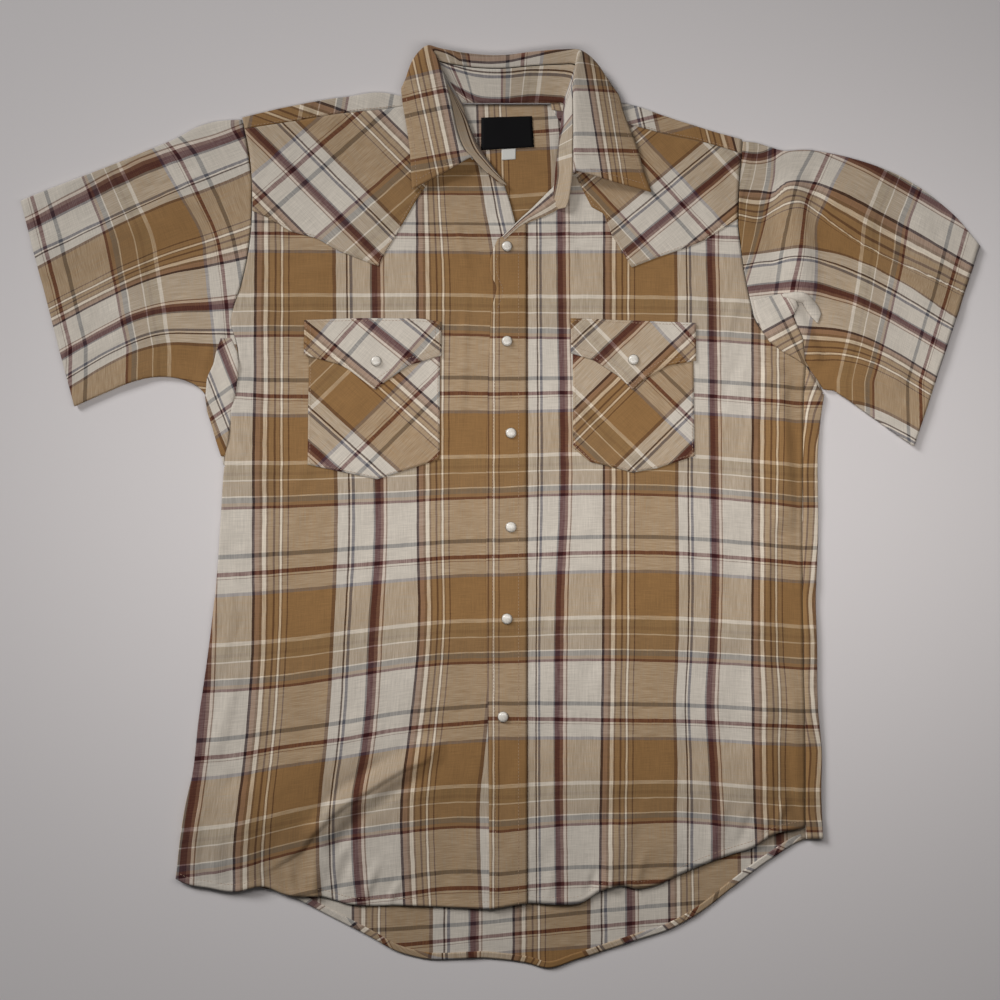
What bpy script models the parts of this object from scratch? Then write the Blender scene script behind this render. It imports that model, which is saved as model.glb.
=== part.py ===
"""Western snap shirt, men's size M, laid out flat on its back with the front closed.

Sizes in the tables are millimetres and the scene is in metres. +Y points to the collar, +X is
the wearer's left and +Z is up. The origin lies under the middle of the cloth. Every piece that
a maker cuts and sews is a wall of its own, a seam gap away from its neighbours.
"""

import math

import bmesh
import bpy
import numpy as np
from mathutils import Vector

for old in list(bpy.data.objects):
    bpy.data.objects.remove(old)


def table(names, *rows):
    """A table as a dictionary of named columns."""
    return dict(zip(names.split(), np.array(rows, float).T))


MM = 0.001

# Walls and gaps.
CLOTH = 1.2  # wall of a body panel, sleeve or yoke
TRIM = 1.0  # wall of a pocket, flap, label or tab
BAND = 2.0  # wall of the folded placket and of the two-layer collar
STAND_WALL = 1.6  # wall of the collar stand
SEAM = 0.3  # gap between neighbouring pieces
YOKE_INSET = 0.4  # how far a front yoke stays inside the armhole seam
COLLAR_GAP = 1.0  # clearance between stand and fall, measured along the stand

# How the cloth lies.
FOLD_ROOM = 0.6  # extra air that a side fold keeps between front and back
SIDE_TURN = 14.0  # how far the right front runs on under the body to its side seam
SWELL = 0.35  # slow rise and fall of the fronts
SWELL_SPANS = (61.0, 74.0)  # how far apart the swells lie, across and along
BACK_TOP = CLOTH
FRONT_LOW = CLOTH + SEAM + FOLD_ROOM
FOLD_RADIUS = (FRONT_LOW - BACK_TOP) / 2
FOLD_REACH = CLOTH + FOLD_RADIUS  # from a fold's outer edge to its centre

# Mesh counts.
SIDE_ROWS = 18  # rows of a body panel below the arm
FRONT_COLUMNS = 16
BACK_COLUMNS = 10
FOLD_STEPS = 4
BACK_YOKE_COLUMNS = 24
PLACKET_ROWS = 34
PLACKET_COLUMNS = 3
SNAP_SIDES = 12

# Sections of the body from the hem up: x of its right edge, which is a fold below the arm and
# the armhole seam above it.
RIGHT_EDGE = table(
    "y x",
    (-331.6, -279.6), (-297, -276.3), (-269, -272.1), (-245, -267.0), (-195, -262.1),
    (-135, -254.6), (-77, -248.9), (-20, -245.8), (24, -243.4), (57, -239.5), (83, -236.8),
    (106, -234.0), (121, -231.8), (136, -234.0), (151, -239.0), (169, -236.8), (187, -230.8),
    (210, -225.8), (241, -222.2), (282, -222.5), (310, -225.5), (340, -232.5),
)
# The same on the left: the side seam on the front, then the armhole seam.
LEFT_EDGE = table(
    "y x",
    (-288.3, 263.9), (-223, 265.0), (-128, 264.6), (39, 267.5), (84, 269.1), (115.7, 271.5),
)
LEFT_ARMHOLE = table(
    "y x",
    (88.8, 287.4), (115.7, 271.5), (126.5, 253.0), (137, 241.5), (147, 232.0), (157, 226.2),
    (171, 223.1), (185, 220.3), (200, 217.7), (215, 215.6), (241, 212.9), (275, 213.9),
    (309, 217.0), (320, 218.0),
)
# The fold on the left, past the side seam, where the back comes round.
LEFT_FOLD = table(
    "y x",
    (-297.9, 279.2), (-257, 278.4), (-223.6, 279.6), (-190, 277.0), (-128, 277.0),
    (-96, 276.6), (-30, 280.0), (9, 280.3), (37, 280.8), (67, 284.0), (88.8, 287.4),
)
# Heights of the rows that meet the armhole seam, one row per height on each side.
ARM_ROWS = table(
    "right left",
    (24, 88.8), (57, 115.7), (83, 126.5), (106, 137), (121, 147), (136, 157), (151, 171),
    (169, 185), (187, 200), (210, 215), (241, 241), (282, 275), (329, 306),
)
ARM_TOPS = (338.0, 318.0)  # where the armhole seam reaches the shoulder fold, right and left
YOKE_SEAM_ROW = 9  # the armhole row at which the back yoke is seamed to the back
ARMPITS = ((-243.6, 26.6), (286.4, 94.4))  # ends of the sleeves' armhole seams, right and left
GUSSET = 25.0  # how far the side seam climbs past the left armpit on the front
# Heights on a front's inner edge that go with the hem, the arm and the shoulder on its outer one.
RIGHT_INNER_ROWS = (-357.0, 60.0, 84.0, 351.0)
LEFT_INNER_ROWS = (-352.6, 120.0, 139.0, 346.0)

# Hems: the front is shorter than the back's shirt tail.
FRONT_HEM = table(
    "x y",
    (-279.6, -331.6), (-272, -335.5), (-250, -340), (-228, -342.9), (-205, -338.3),
    (-183, -345.7), (-153, -347.2), (-130, -353.5), (-85, -354.6), (-40, -356.0), (-9, -357.4),
    (22, -352.6), (51, -353.7), (72, -351.3), (84, -343.6), (103, -337.6), (119, -340.6),
    (134, -337.8), (155, -328.6), (180, -318.3), (201, -311.2), (220, -304.5), (233, -295.7),
    (264, -288.3),
)
BACK_HEM = table(
    "x y",
    (-279.6, -331.6), (-250, -334), (-215, -338), (-183, -346.5), (-143, -365.9),
    (-115, -379.7), (-87, -394.2), (-70, -398.9), (-10, -399.5), (23, -403.5), (41, -407.5),
    (67, -400.2), (117, -384.4), (146, -375.1), (180, -355.8), (201, -339.4), (234, -315.7),
    (264, -299.2), (279, -298.1),
)
# Shoulders: the fold over the top of each shoulder, then the seam in front of it.
RIGHT_SHOULDER = table(
    "x fold seam",
    (-233, 339.9, 328.6), (-190, 350.2, 335.4), (-137, 359.3, 343.9), (-104, 362.9, 347.2),
    (-88, 359.5, 349.8), (-41, 354.5, 351.4),
)
LEFT_SHOULDER = table(
    "x fold seam",
    (46, 354.5, 347.0), (100, 354.8, 337.5), (125, 349.9, 330.9), (139, 344.9, 327.0),
    (193, 326.8, 314.0), (218, 319.5, 305.6),
)
NECK_SEAM = 352.6  # y of the back neck seam
NECK_SIDES = (-40.0, 45.0)  # x at which the back yoke turns over the shoulders

# Inner edges of the fronts: the right front runs on under the placket, the left one stops at it.
RIGHT_FRONT_INNER = table(
    "y x",
    (-357, 19), (200, 19), (218, 17.9), (244, 13.4), (264, 8.1), (281, 2.7), (296, -9.0),
    (310, -19.8), (328, -30.6), (352, -40.5),
)
LEFT_FRONT_INNER = table(
    "y x",
    (-357, 22.8), (246.5, 22.8), (256.5, 33.9), (263.6, 45.0), (283, 49.0), (299, 53.0),
    (315, 56.0), (332, 56.0), (347, 47.0),
)
PLACKET_EDGE = table(
    "y x",
    (-357.4, -9.1), (139.7, -8.9), (153, -8.3), (167, -6.9), (175.7, -4.2), (182, -3.1),
    (191, -6.2), (200, -8.9), (211, -8.3), (220.4, -4.2), (230.9, 2.7),
)
PLACKET_TOP = table("x y", (-9.1, 224), (2.7, 230.9), (12, 238.5), (23.2, 247))

# Soft folds in the fronts: a ridge from one end to the other, its width and its height.
FRONT_FOLDS = table(
    "x0 y0 x1 y1 width height",
    (-158, -287, -60, -223, 34, 2.4),
    (-214, -338, -224, -262, 36, 2.0),
    (-168, -350, -150, -296, 30, 1.8),
    (-236, 110, -214, 10, 36, 1.8),
    (244, 104, 248, -20, 34, 2.4),
    (252, -300, 226, -225, 34, 2.0),
    (95, -342, 108, -285, 30, 1.6),
    (226, -60, 232, -190, 40, 1.5),
)

# Lower outlines of the pieces that lie on the fronts. The lowest place of each is its point.
RIGHT_YOKE = table(
    "x y",
    (-221, 253.7), (-207, 247.5), (-188, 235.7), (-164, 228.8), (-143, 217), (-108.7, 203.7),
    (-104, 214), (-93.5, 231), (-75, 263.3), (-66.6, 276.1), (-47.6, 307.6),
)
LEFT_YOKE = table(
    "x y",
    (60, 302), (72, 277.4), (82, 257.3), (93, 251.4), (99.7, 231.8), (109.6, 216.4),
    (117.2, 202.4), (140, 211.5), (168, 221.1), (182, 227), (213, 246.8),
)
RIGHT_POCKET = table("x y", (-169.5, 26), (-108.1, 13), (-53.2, 30.7))
LEFT_POCKET = table(
    "x y", (64.5, 41), (79, 28.5), (98.7, 23.9), (116.9, 18.8), (138, 22.6), (171.5, 33.6),
)
RIGHT_FLAP = table(
    "x y",
    (-173.8, 123.5), (-144.3, 115.7), (-134.5, 110.9), (-110.5, 92.4), (-104.4, 97.5),
    (-80.6, 114.4), (-51.8, 122.8),
)
LEFT_FLAP = table(
    "x y",
    (62.8, 124.9), (82.6, 118.9), (104.4, 104.6), (117.6, 91.9), (130.2, 103.3), (142.1, 110.2),
    (149.6, 114.1), (173.8, 118.4),
)
RIGHT_POCKET_TOP = 153.0
LEFT_POCKET_TOP = 151.0
RIGHT_FLAP_TOP = table("x y", (-174.6, 154.8), (-128.7, 156.6), (-69.2, 155.9), (-51.9, 153))
LEFT_FLAP_TOP = table("x y", (62.4, 156.4), (174.2, 152.1))

# Rings of the sleeves from the armhole to the hem: ends of the fold on top and of the one below,
# and how far the ring keeps the bend of the armhole.
RIGHT_SLEEVE = table(
    "top_x top_y low_x low_y bulge",
    (-246.5, 336.2, -249, 46, 0.9), (-260, 334.3, -255, 68, 0.75), (-274, 329.3, -260, 87, 0.6),
    (-289, 321, -270, 98, 0.45), (-300, 316, -288, 104.5, 0.35), (-325, 305, -309, 105, 0.2),
    (-350, 294.6, -329, 100, 0.1), (-378, 283.4, -347, 92.5, 0.0), (-405, 272.8, -363, 85.5, 0.0),
    (-429.2, 262.5, -377, 79, 0.0),
)
LEFT_SLEEVE = table(
    "top_x top_y low_x low_y bulge",
    (230, 315.6, 291, 93.5, 1.0), (243, 311.6, 296, 93, 0.85), (256.3, 308, 302, 89, 0.7),
    (275.6, 309, 309, 84.5, 0.55), (299, 305.6, 317, 78.5, 0.42), (327, 298, 326, 72, 0.3),
    (355, 287, 336, 65, 0.2), (382, 270.5, 346, 57.5, 0.1), (407, 248.5, 356, 50.5, 0.0),
    (428.7, 221.5, 366, 43.5, 0.0),
)
RIGHT_SLEEVE_FOLDS = table(
    "x0 y0 x1 y1 width height",
    (-262, 100, -246, 150, 22, 1.6),
    (-262, 128, -330, 160, 40, 1.8),
    (-300, 250, -400, 215, 60, 1.4),
)
LEFT_SLEEVE_FOLDS = table(
    "x0 y0 x1 y1 width height",
    (262, 268, 266, 182, 46, 4.0),
    (238, 158, 262, 118, 26, 3.4),
    (258, 168, 278, 122, 24, 3.2),
    (300, 150, 350, 110, 44, 2.4),
    (300, 260, 380, 190, 60, 1.8),
)
FOLD_START = (1, 4)  # the rings between which the sleeves' folds rise to their full height

# Sections of the collar from its right front end, round the back, to its left front end: the
# neck seam, the roll, a point half way down the fall and the fall's edge.
COLLAR = table(
    "base_x base_y base_z roll_x roll_y roll_z mid_x mid_y mid_z edge_x edge_y edge_z",
    (6, 277, 4.6, -6, 281, 8, -6, 281, 8, -6, 281, 8),
    (-1, 286, 4.6, -18, 290, 10, -18, 290, 10, -18, 290, 10),
    (-9, 297, 4.6, -28, 299, 11.5, -52, 286, 9, -78.5, 272.6, 6.6),
    (-18, 310, 4.6, -37, 308, 12.5, -60, 303, 9.8, -79.6, 291, 6.6),
    (-26, 327, 4.6, -43, 325, 13.5, -64, 322, 10.4, -81, 312, 6.6),
    (-31, 341, 4.4, -47.5, 350, 14, -69, 345, 10.6, -84.5, 335, 6.6),
    (-33, 348, 3.9, -53, 373, 14, -74, 366, 10.2, -87.5, 353, 6.6),
    (-34, 351.5, 3.4, -59, 391, 14, -78, 382, 9, -88, 366, 6),
    (-34, 353.2, 3, -64, 401, 13, -77, 392, 6, -80, 369, 3.8),
    (-30, 353.2, 2.9, -52, 399, 11, -60, 394, 2.7, -62, 362, 1.8),
    (-18, 353.2, 2.9, -25, 395, 9.5, -28, 389, 2.1, -30, 358.5, 1.5),
    (2, 353.2, 2.9, 2, 394, 9, 2, 388, 1.9, 2, 358, 1.5),
    (22, 353.2, 2.9, 30, 397, 9.5, 32, 391, 2.1, 34, 358.5, 1.5),
    (35, 353.2, 2.9, 55, 398, 11.5, 62, 393, 2.9, 66, 362, 1.9),
    (42, 353.2, 3.4, 71.5, 396, 14, 85, 388, 6.6, 88, 365, 4.2),
    (48, 349.5, 4.9, 70, 384, 15, 91, 377, 10, 104.5, 361, 6.6),
    (53, 343, 4.8, 68.5, 366, 15, 93, 358, 11, 110, 345, 6.6),
    (56, 332, 4.6, 69, 345, 15, 94, 340, 11, 115, 331, 6.6),
    (56, 315, 4.6, 69.5, 322, 14, 97, 318, 10.6, 122, 313, 6.6),
    (53, 299, 4.6, 70, 302, 13, 101, 297, 10, 128, 291, 6.6),
    (49.5, 283, 4.6, 70.5, 287, 12, 104, 278, 8.8, 135.2, 270, 6.6),
    (48, 264, 4.6, 67, 264, 10.5, 67, 264, 10.5, 67, 264, 10.5),
    (53, 249, 4.6, 62, 250, 9.0, 62, 250, 9.0, 62, 250, 9.0),
)
LEAF_SECTIONS = (2, 21)  # the first two and the last two sections hold only the stand
STAND_SHARE = 0.72  # part of the way from the neck seam to the roll where the fall begins
STAND_LINES = (0.0, 0.34, 0.67, 1.0)  # shares of the stand's height at which its points lie
FALL_STEPS = 3  # points between two of the fall's lines

# Snaps: six down the placket and one on each flap, and half of a snap's outline.
FRONT_SNAPS = table(
    "x y",
    (6.2, 221.3), (6.2, 135.7), (9.7, 53.8), (9.6, -29.1), (6.1, -109.3), (2.6, -193.9),
)
RIGHT_FLAP_SNAP = (-109.7, 117.8)
LEFT_FLAP_SNAP = (118.1, 119.0)
SNAP = table("radius height", (0, 0), (4.8, 0), (4.8, 1.1), (3.8, 1.9), (2.0, 2.5), (0, 2.6))

# Neck label and size tab by their corners, row by row, both bare.
LABEL = (((-17, 310), (30.6, 313)), ((-17, 340), (28.8, 341.5)))
TAB = (((1.5, 301), (14, 302)), ((1.8, 308.5), (14.2, 309.4)))


# Numbers and lines.


def mix(a, b, t):
    return a + (b - a) * t


def heights(low, high, steps):
    return [mix(low, high, step / steps) for step in range(steps + 1)]


def level(value):
    return lambda place: value


def straight(data, along, value):
    """A function of straight stretches through two columns of a table, for edges with corners."""
    order = np.argsort(data[along])
    return lambda place: float(np.interp(place, data[along][order], data[value][order]))


def curve(data, along, value):
    """A smooth function through two columns of a table, level past its ends."""
    order = np.argsort(data[along])
    places = data[along][order]
    values = data[value][order]
    slopes = np.gradient(values, places)

    def at(place):
        place = min(max(place, places[0]), places[-1])
        i = min(int(np.searchsorted(places, place, "right")) - 1, len(places) - 2)
        span = places[i + 1] - places[i]
        t = (place - places[i]) / span
        rise = values[i + 1] - values[i]
        bend = slopes[i] * span
        end_bend = slopes[i + 1] * span
        square = (3 * rise - 2 * bend - end_bend) * t**2
        cube = (bend + end_bend - 2 * rise) * t**3
        return values[i] + bend * t + square + cube

    return at


def through(points, steps):
    """Points of a smooth line through the given ones, the given ones among them."""
    points = [np.array(p, float) for p in points]
    ends = [2 * points[0] - points[1]] + points + [2 * points[-1] - points[-2]]
    line = []
    for before, start, end, after in zip(ends, ends[1:], ends[2:], ends[3:]):
        bend = end - before
        square = 2 * before - 5 * start + 4 * end - after
        cube = 3 * start - before - 3 * end + after
        for step in range(steps):
            t = step / steps
            line.append(start + 0.5 * (bend * t + square * t**2 + cube * t**3))
    return line + [points[-1]]


right_edge = curve(RIGHT_EDGE, "y", "x")
left_edge = curve(LEFT_EDGE, "y", "x")
left_armhole = curve(LEFT_ARMHOLE, "y", "x")
left_fold = curve(LEFT_FOLD, "y", "x")
right_inner = straight(RIGHT_FRONT_INNER, "y", "x")
left_inner = straight(LEFT_FRONT_INNER, "y", "x")
front_hem = curve(FRONT_HEM, "x", "y")
back_hem = curve(BACK_HEM, "x", "y")
right_shoulder_fold = curve(RIGHT_SHOULDER, "x", "fold")
right_shoulder_seam = curve(RIGHT_SHOULDER, "x", "seam")
left_shoulder_fold = curve(LEFT_SHOULDER, "x", "fold")
left_shoulder_seam = curve(LEFT_SHOULDER, "x", "seam")


# Heights of the layers.


def ridges(x, y, folds):
    """Height that the folds of a table add at a point."""
    height = 0.0
    for x0, y0, x1, y1, width, top in zip(*folds.values()):
        run = Vector((x1 - x0, y1 - y0))
        along = Vector((x - x0, y - y0)).dot(run) / run.length_squared
        nearest = Vector((x0, y0)) + run * min(max(along, 0.0), 1.0)
        off = (Vector((x, y)) - nearest).length / (width / 2)
        if off < 1.0:
            height += top * (1 - off**2) ** 2
    return height


def front_low(x, y):
    """Height of the underside of the fronts."""
    slow = math.sin(x / SWELL_SPANS[0] + 0.8) * math.sin(y / SWELL_SPANS[1])
    return FRONT_LOW + SWELL * (1 + slow) + ridges(x, y, FRONT_FOLDS)


def on_front(x, y):
    """Height of the underside of a piece that lies on a front."""
    return front_low(x, y) + CLOTH + SEAM


def on_pocket(x, y):
    return on_front(x, y) + TRIM + SEAM


# Materials and solids.


def finish(name, colour, roughness):
    material = bpy.data.materials.new(name)
    material.use_nodes = True
    shader = material.node_tree.nodes["Principled BSDF"]
    shader.inputs["Base Color"].default_value = (*colour, 1.0)
    shader.inputs["Roughness"].default_value = roughness
    return material


def solid(name, shape, material):
    mesh = bpy.data.meshes.new(name)
    shape.to_mesh(mesh)
    shape.free()
    mesh.shade_smooth()
    mesh.materials.append(material)
    piece = bpy.data.objects.new(name, mesh)
    bpy.context.scene.collection.objects.link(piece)
    return piece


def cloth(name, rows, wall, material, side=1.0, flip=False, ring=False):
    """A wall of cloth on a grid of points in millimetres; None leaves a point out.

    side is 1 where the wall lies on the face's outer side, and 0 where it lies half on each.
    ring joins each row's last point to its first.
    """
    shape = bmesh.new()
    grid = []
    for row in rows:
        grid.append([shape.verts.new(Vector(p) * MM) if p is not None else None for p in row])
    for below, above in zip(grid, grid[1:]):
        width = len(below)
        for i in range(width if ring else width - 1):
            k = (i + 1) % width
            corners = [below[i], below[k], above[k], above[i]]
            if None not in corners:
                shape.faces.new(corners[::-1] if flip else corners)
    piece = solid(name, shape, material)
    thick = piece.modifiers.new("wall", "SOLIDIFY")
    thick.thickness = wall * MM
    thick.offset = side
    thick.use_even_offset = True
    thick.use_quality_normals = True
    return piece


def ruled(starts, ends, columns, height, hem, top=None):
    """Rows of points between two edges, their first row bent to a hem and the last to a top."""
    last = len(starts) - 1
    sides = [
        np.array([(*side[j], *side[0], *side[last]) for side in (starts, ends)])
        for j in range(last + 1)
    ]
    rows = []
    for j in range(last + 1):
        up = j / last
        row = []
        for i in range(columns + 1):
            x, y, hem_x, hem_y, top_x, top_y = mix(sides[j][0], sides[j][1], i / columns)
            y += (hem(hem_x) - hem_y) * (1 - up) ** 3
            if top:
                y += (top(top_x) - top_y) * up**3
            row.append((x, y, height(x, y)))
        rows.append(row)
    return rows


def turned(edge, outward):
    """Points round the inside of a fold, from the lower layer to the upper one."""
    centre = Vector(edge) - Vector(outward) * FOLD_REACH
    points = []
    for step in range(FOLD_STEPS + 1):
        angle = math.pi * (step / FOLD_STEPS - 0.5)
        flat = centre + Vector(outward) * FOLD_RADIUS * math.cos(angle)
        points.append((*flat, BACK_TOP + FOLD_RADIUS * (1 + math.sin(angle))))
    return points


# Body panels.


def right_front(material):
    """The wearer's right front: it folds under at the side and runs on below the placket."""
    hem, arm, over_arm, shoulder = RIGHT_INNER_ROWS
    outer = heights(RIGHT_EDGE["y"][0], ARM_ROWS["right"][0], SIDE_ROWS)
    outer += list(ARM_ROWS["right"][1:])
    inner = heights(hem, arm, SIDE_ROWS)
    inner += heights(over_arm, shoulder, len(ARM_ROWS["right"]) - 2)
    starts = [
        (right_edge(y) + (FOLD_REACH if j <= SIDE_ROWS else 0.0), y)
        for j, y in enumerate(outer)
    ]
    ends = [(right_inner(y), y) for y in inner]
    rows = ruled(starts, ends, FRONT_COLUMNS, front_low, front_hem, right_shoulder_seam)
    for j, row in enumerate(rows):
        x, y, z = row[0]
        if j > SIDE_ROWS:
            rows[j] = [None] * (FOLD_STEPS + 1) + row
        else:
            under = (x - FOLD_REACH + SIDE_TURN, y, BACK_TOP)
            fold = turned((right_edge(outer[j]), y), (-1.0, 0.0))
            rows[j] = [under] + fold + row[1:]
    cloth("right_front", rows, CLOTH, material)


def left_front(material):
    """The wearer's left front, from its side seam to the placket."""
    hem, arm, over_arm, shoulder = LEFT_INNER_ROWS
    arm_rows = list(ARM_ROWS["left"][1:])
    outer = heights(LEFT_EDGE["y"][0], arm_rows[0], SIDE_ROWS) + arm_rows[1:]
    inner = heights(hem, arm, SIDE_ROWS) + heights(over_arm, shoulder, len(arm_rows) - 2)
    starts = [(left_inner(y), y) for y in inner]
    ends = [
        ((left_edge(y) if j <= SIDE_ROWS else left_armhole(y)) - SEAM, y)
        for j, y in enumerate(outer)
    ]
    rows = ruled(starts, ends, FRONT_COLUMNS, front_low, front_hem, left_shoulder_seam)
    cloth("left_front", rows, CLOTH, material)


def back(material):
    """The back below its yoke: flat on the ground, and turned up round the left side."""
    arms = ARM_ROWS["right"][: YOKE_SEAM_ROW + 1], ARM_ROWS["left"][: YOKE_SEAM_ROW + 1]
    right = heights(RIGHT_EDGE["y"][0], arms[0][0], SIDE_ROWS)
    left = heights(LEFT_FOLD["y"][0], arms[1][0], SIDE_ROWS)
    starts = [(right_edge(y) + SIDE_TURN + SEAM, y) for y in right]
    starts += [(right_edge(y), y + 2 * SEAM * (j == 0)) for j, y in enumerate(arms[0])]
    ends = [(left_fold(y) - FOLD_REACH, y) for y in left]
    ends += [(left_armhole(y), y + 2 * SEAM * (j == 0)) for j, y in enumerate(arms[1])]
    rows = ruled(starts, ends, BACK_COLUMNS, lambda x, y: BACK_TOP, back_hem)
    for j, row in enumerate(rows):
        if j > SIDE_ROWS:
            row.extend([None] * (FOLD_STEPS + 1))
            continue
        y = row[-1][1]
        seam_y = y + (GUSSET if j == SIDE_ROWS else 0.0)
        row[-1:] = turned((left_fold(left[j]), y), (1.0, 0.0))
        row.append((left_edge(seam_y), seam_y, FRONT_LOW))
    cloth("back", rows, CLOTH, material, flip=True)


def back_yoke(material):
    """The back yoke: flat from its seam to the neck, then over both shoulders to the fronts."""
    arm_rows = list(zip(ARM_ROWS["right"], ARM_ROWS["left"]))[YOKE_SEAM_ROW:]
    columns = []
    for i in range(BACK_YOKE_COLUMNS + 1):
        across = i / BACK_YOKE_COLUMNS
        column = []
        for j, (right, left) in enumerate(arm_rows):
            x = mix(right_edge(right), left_armhole(left), across)
            column.append((x, mix(right, left, across) + SEAM * (j == 0), BACK_TOP))
        seam_x = x
        x = mix(right_edge(ARM_TOPS[0]) + SEAM, left_armhole(ARM_TOPS[1]) - SEAM, across)
        if NECK_SIDES[0] < x < NECK_SIDES[1]:
            column.append((x, NECK_SEAM, BACK_TOP))
            column += [None] * (FOLD_STEPS + 1)
        else:
            fold = right_shoulder_fold if x < 0 else left_shoulder_fold
            seam = right_shoulder_seam if x < 0 else left_shoulder_seam
            y = seam(seam_x) + SEAM
            column += turned((x, fold(x)), (0.0, 1.0))
            column.append((seam_x, y, front_low(seam_x, y)))
        columns.append(column)
    cloth("back_yoke", columns, CLOTH, material)


# Sleeves.


def sleeve(name, arm_rows, seam_x, arm_top, armpit, rings, folds, material, flip=False):
    """A flattened tube from the armhole seam to the hem, each ring flat below and above."""
    seam = [(seam_x(arm_top), arm_top - CLOTH)]
    seam += [(seam_x(y), y) for y in arm_rows[:0:-1]]
    seam.append(armpit)
    tops = [seam[0]] + list(zip(rings["top_x"], rings["top_y"]))
    lows = [seam[-1]] + list(zip(rings["low_x"], rings["low_y"]))
    bulges = [1.0] + list(rings["bulge"])
    lengths = np.cumsum([0.0] + [math.dist(a, b) for a, b in zip(seam, seam[1:])])
    parts = lengths / lengths[-1]
    grid = []
    for k, (top, low, bulge) in enumerate(zip(np.array(tops), np.array(lows), bulges)):
        line = []
        for part, point in zip(parts, np.array(seam)):
            bend = point - mix(np.array(seam[0]), np.array(seam[-1]), part)
            line.append(mix(top, low, part) + bulge * bend)
        down = (low - top) / np.linalg.norm(low - top)
        rise = np.interp(k, FOLD_START, (0.0, 1.0))
        upper = [(x, y, front_low(x, y) + rise * ridges(x, y, folds)) for x, y in line]
        lower = [(x, y, BACK_TOP) for x, y in line]
        top_fold = turned(line[0] - down * FOLD_REACH, -down)[1:-1]
        low_fold = turned(line[-1] + down * FOLD_REACH, down)[1:-1]
        grid.append(upper + low_fold[::-1] + lower[::-1] + top_fold)
    cloth(name, grid, CLOTH, material, flip=flip, ring=True)


def right_sleeve(material):
    sleeve(
        "right_sleeve", ARM_ROWS["right"], lambda y: right_edge(y) - SEAM, ARM_TOPS[0],
        ARMPITS[0], RIGHT_SLEEVE, RIGHT_SLEEVE_FOLDS, material, flip=True,
    )


def left_sleeve(material):
    sleeve(
        "left_sleeve", ARM_ROWS["left"], lambda y: left_armhole(y) + SEAM, ARM_TOPS[1],
        ARMPITS[1], LEFT_SLEEVE, LEFT_SLEEVE_FOLDS, material,
    )


# Pieces that lie on the fronts.


def laid(name, lower, upper, columns, rows, wall, height, material, left=None, right=None):
    """A flat piece with one point, from its lower outline up; left and right follow its ends."""
    bottom = straight(lower, "x", "y")
    tip = lower["x"][np.argmin(lower["y"])]
    left = left or level(lower["x"][0])
    right = right or level(lower["x"][-1])
    grid = []
    for j in range(rows + 1):
        up = j / rows
        places = heights(left(up), tip, columns) + heights(tip, right(up), columns)[1:]
        row = []
        for x in places:
            y = mix(bottom(x), upper(x), up)
            row.append((x, y, height(x, y)))
        grid.append(row)
    cloth(name, grid, wall, material)


def front_yokes(material):
    """Pointed yokes from the shoulder seams down, each as long at the armhole as its seam."""
    right_end = RIGHT_YOKE["y"][0], ARM_ROWS["right"][-1] - 1.0
    left_end = LEFT_YOKE["y"][-1], ARM_ROWS["left"][-1]
    laid(
        "right_front_yoke", RIGHT_YOKE, lambda x: right_shoulder_seam(x) - SEAM, 8, 8, CLOTH,
        on_front, material, left=lambda up: right_edge(mix(*right_end, up)) + YOKE_INSET,
    )
    laid(
        "left_front_yoke", LEFT_YOKE, lambda x: left_shoulder_seam(x) - SEAM, 8, 8, CLOTH,
        on_front, material, right=lambda up: left_armhole(mix(*left_end, up)) - YOKE_INSET,
    )


def pockets(pocket_material, flap_material):
    """Pointed patch pockets, and the flaps that close over them."""
    for name, outline, top in (
        ("right_pocket", RIGHT_POCKET, RIGHT_POCKET_TOP),
        ("left_pocket", LEFT_POCKET, LEFT_POCKET_TOP),
    ):
        laid(name, outline, level(top), 4, 6, TRIM, on_front, pocket_material)
    for name, outline, top in (
        ("right_flap", RIGHT_FLAP, RIGHT_FLAP_TOP),
        ("left_flap", LEFT_FLAP, LEFT_FLAP_TOP),
    ):
        laid(name, outline, straight(top, "x", "y"), 5, 3, TRIM, on_pocket, flap_material)


def placket(material):
    """The placket: a folded strip that carries the snaps and laps over the right front."""
    edge = straight(PLACKET_EDGE, "y", "x")
    upper = curve(PLACKET_TOP, "x", "y")
    low = PLACKET_EDGE["y"][0]
    top = PLACKET_TOP["y"][0]
    seam_x = PLACKET_TOP["x"][-1]
    rows = []
    for j in range(PLACKET_ROWS + 1):
        up = (j / PLACKET_ROWS) ** 0.8
        y = mix(low, top, up)
        row = []
        for x in heights(edge(y), seam_x, PLACKET_COLUMNS):
            bent = y + (upper(x) - top) * up**8 + (front_hem(x) - low) * (1 - up) ** 3
            row.append((x, bent, on_front(x, bent)))
        rows.append(row)
    cloth("placket", rows, BAND, material)


# Collar, snaps and the pieces inside the neck.


def collar_sections(first, last, steps):
    """Base, roll, middle and edge points of the collar from one section of its table to another."""
    lines = []
    for part in ("base", "roll", "mid", "edge"):
        places = zip(*(COLLAR[f"{part}_{axis}"] for axis in "xyz"))
        lines.append(through(list(places)[first:last], steps))
    return list(zip(*lines))


def collar_stand(material):
    """The band that stands on the neck seam and runs on past the leaf at each front end."""
    rows = []
    for base, roll, _, _ in collar_sections(0, len(COLLAR["base_x"]), 2):
        rows.append([mix(base, roll, line * STAND_SHARE) for line in STAND_LINES])
    cloth("collar_stand", rows, STAND_WALL, material, side=0.0, flip=True)


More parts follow.
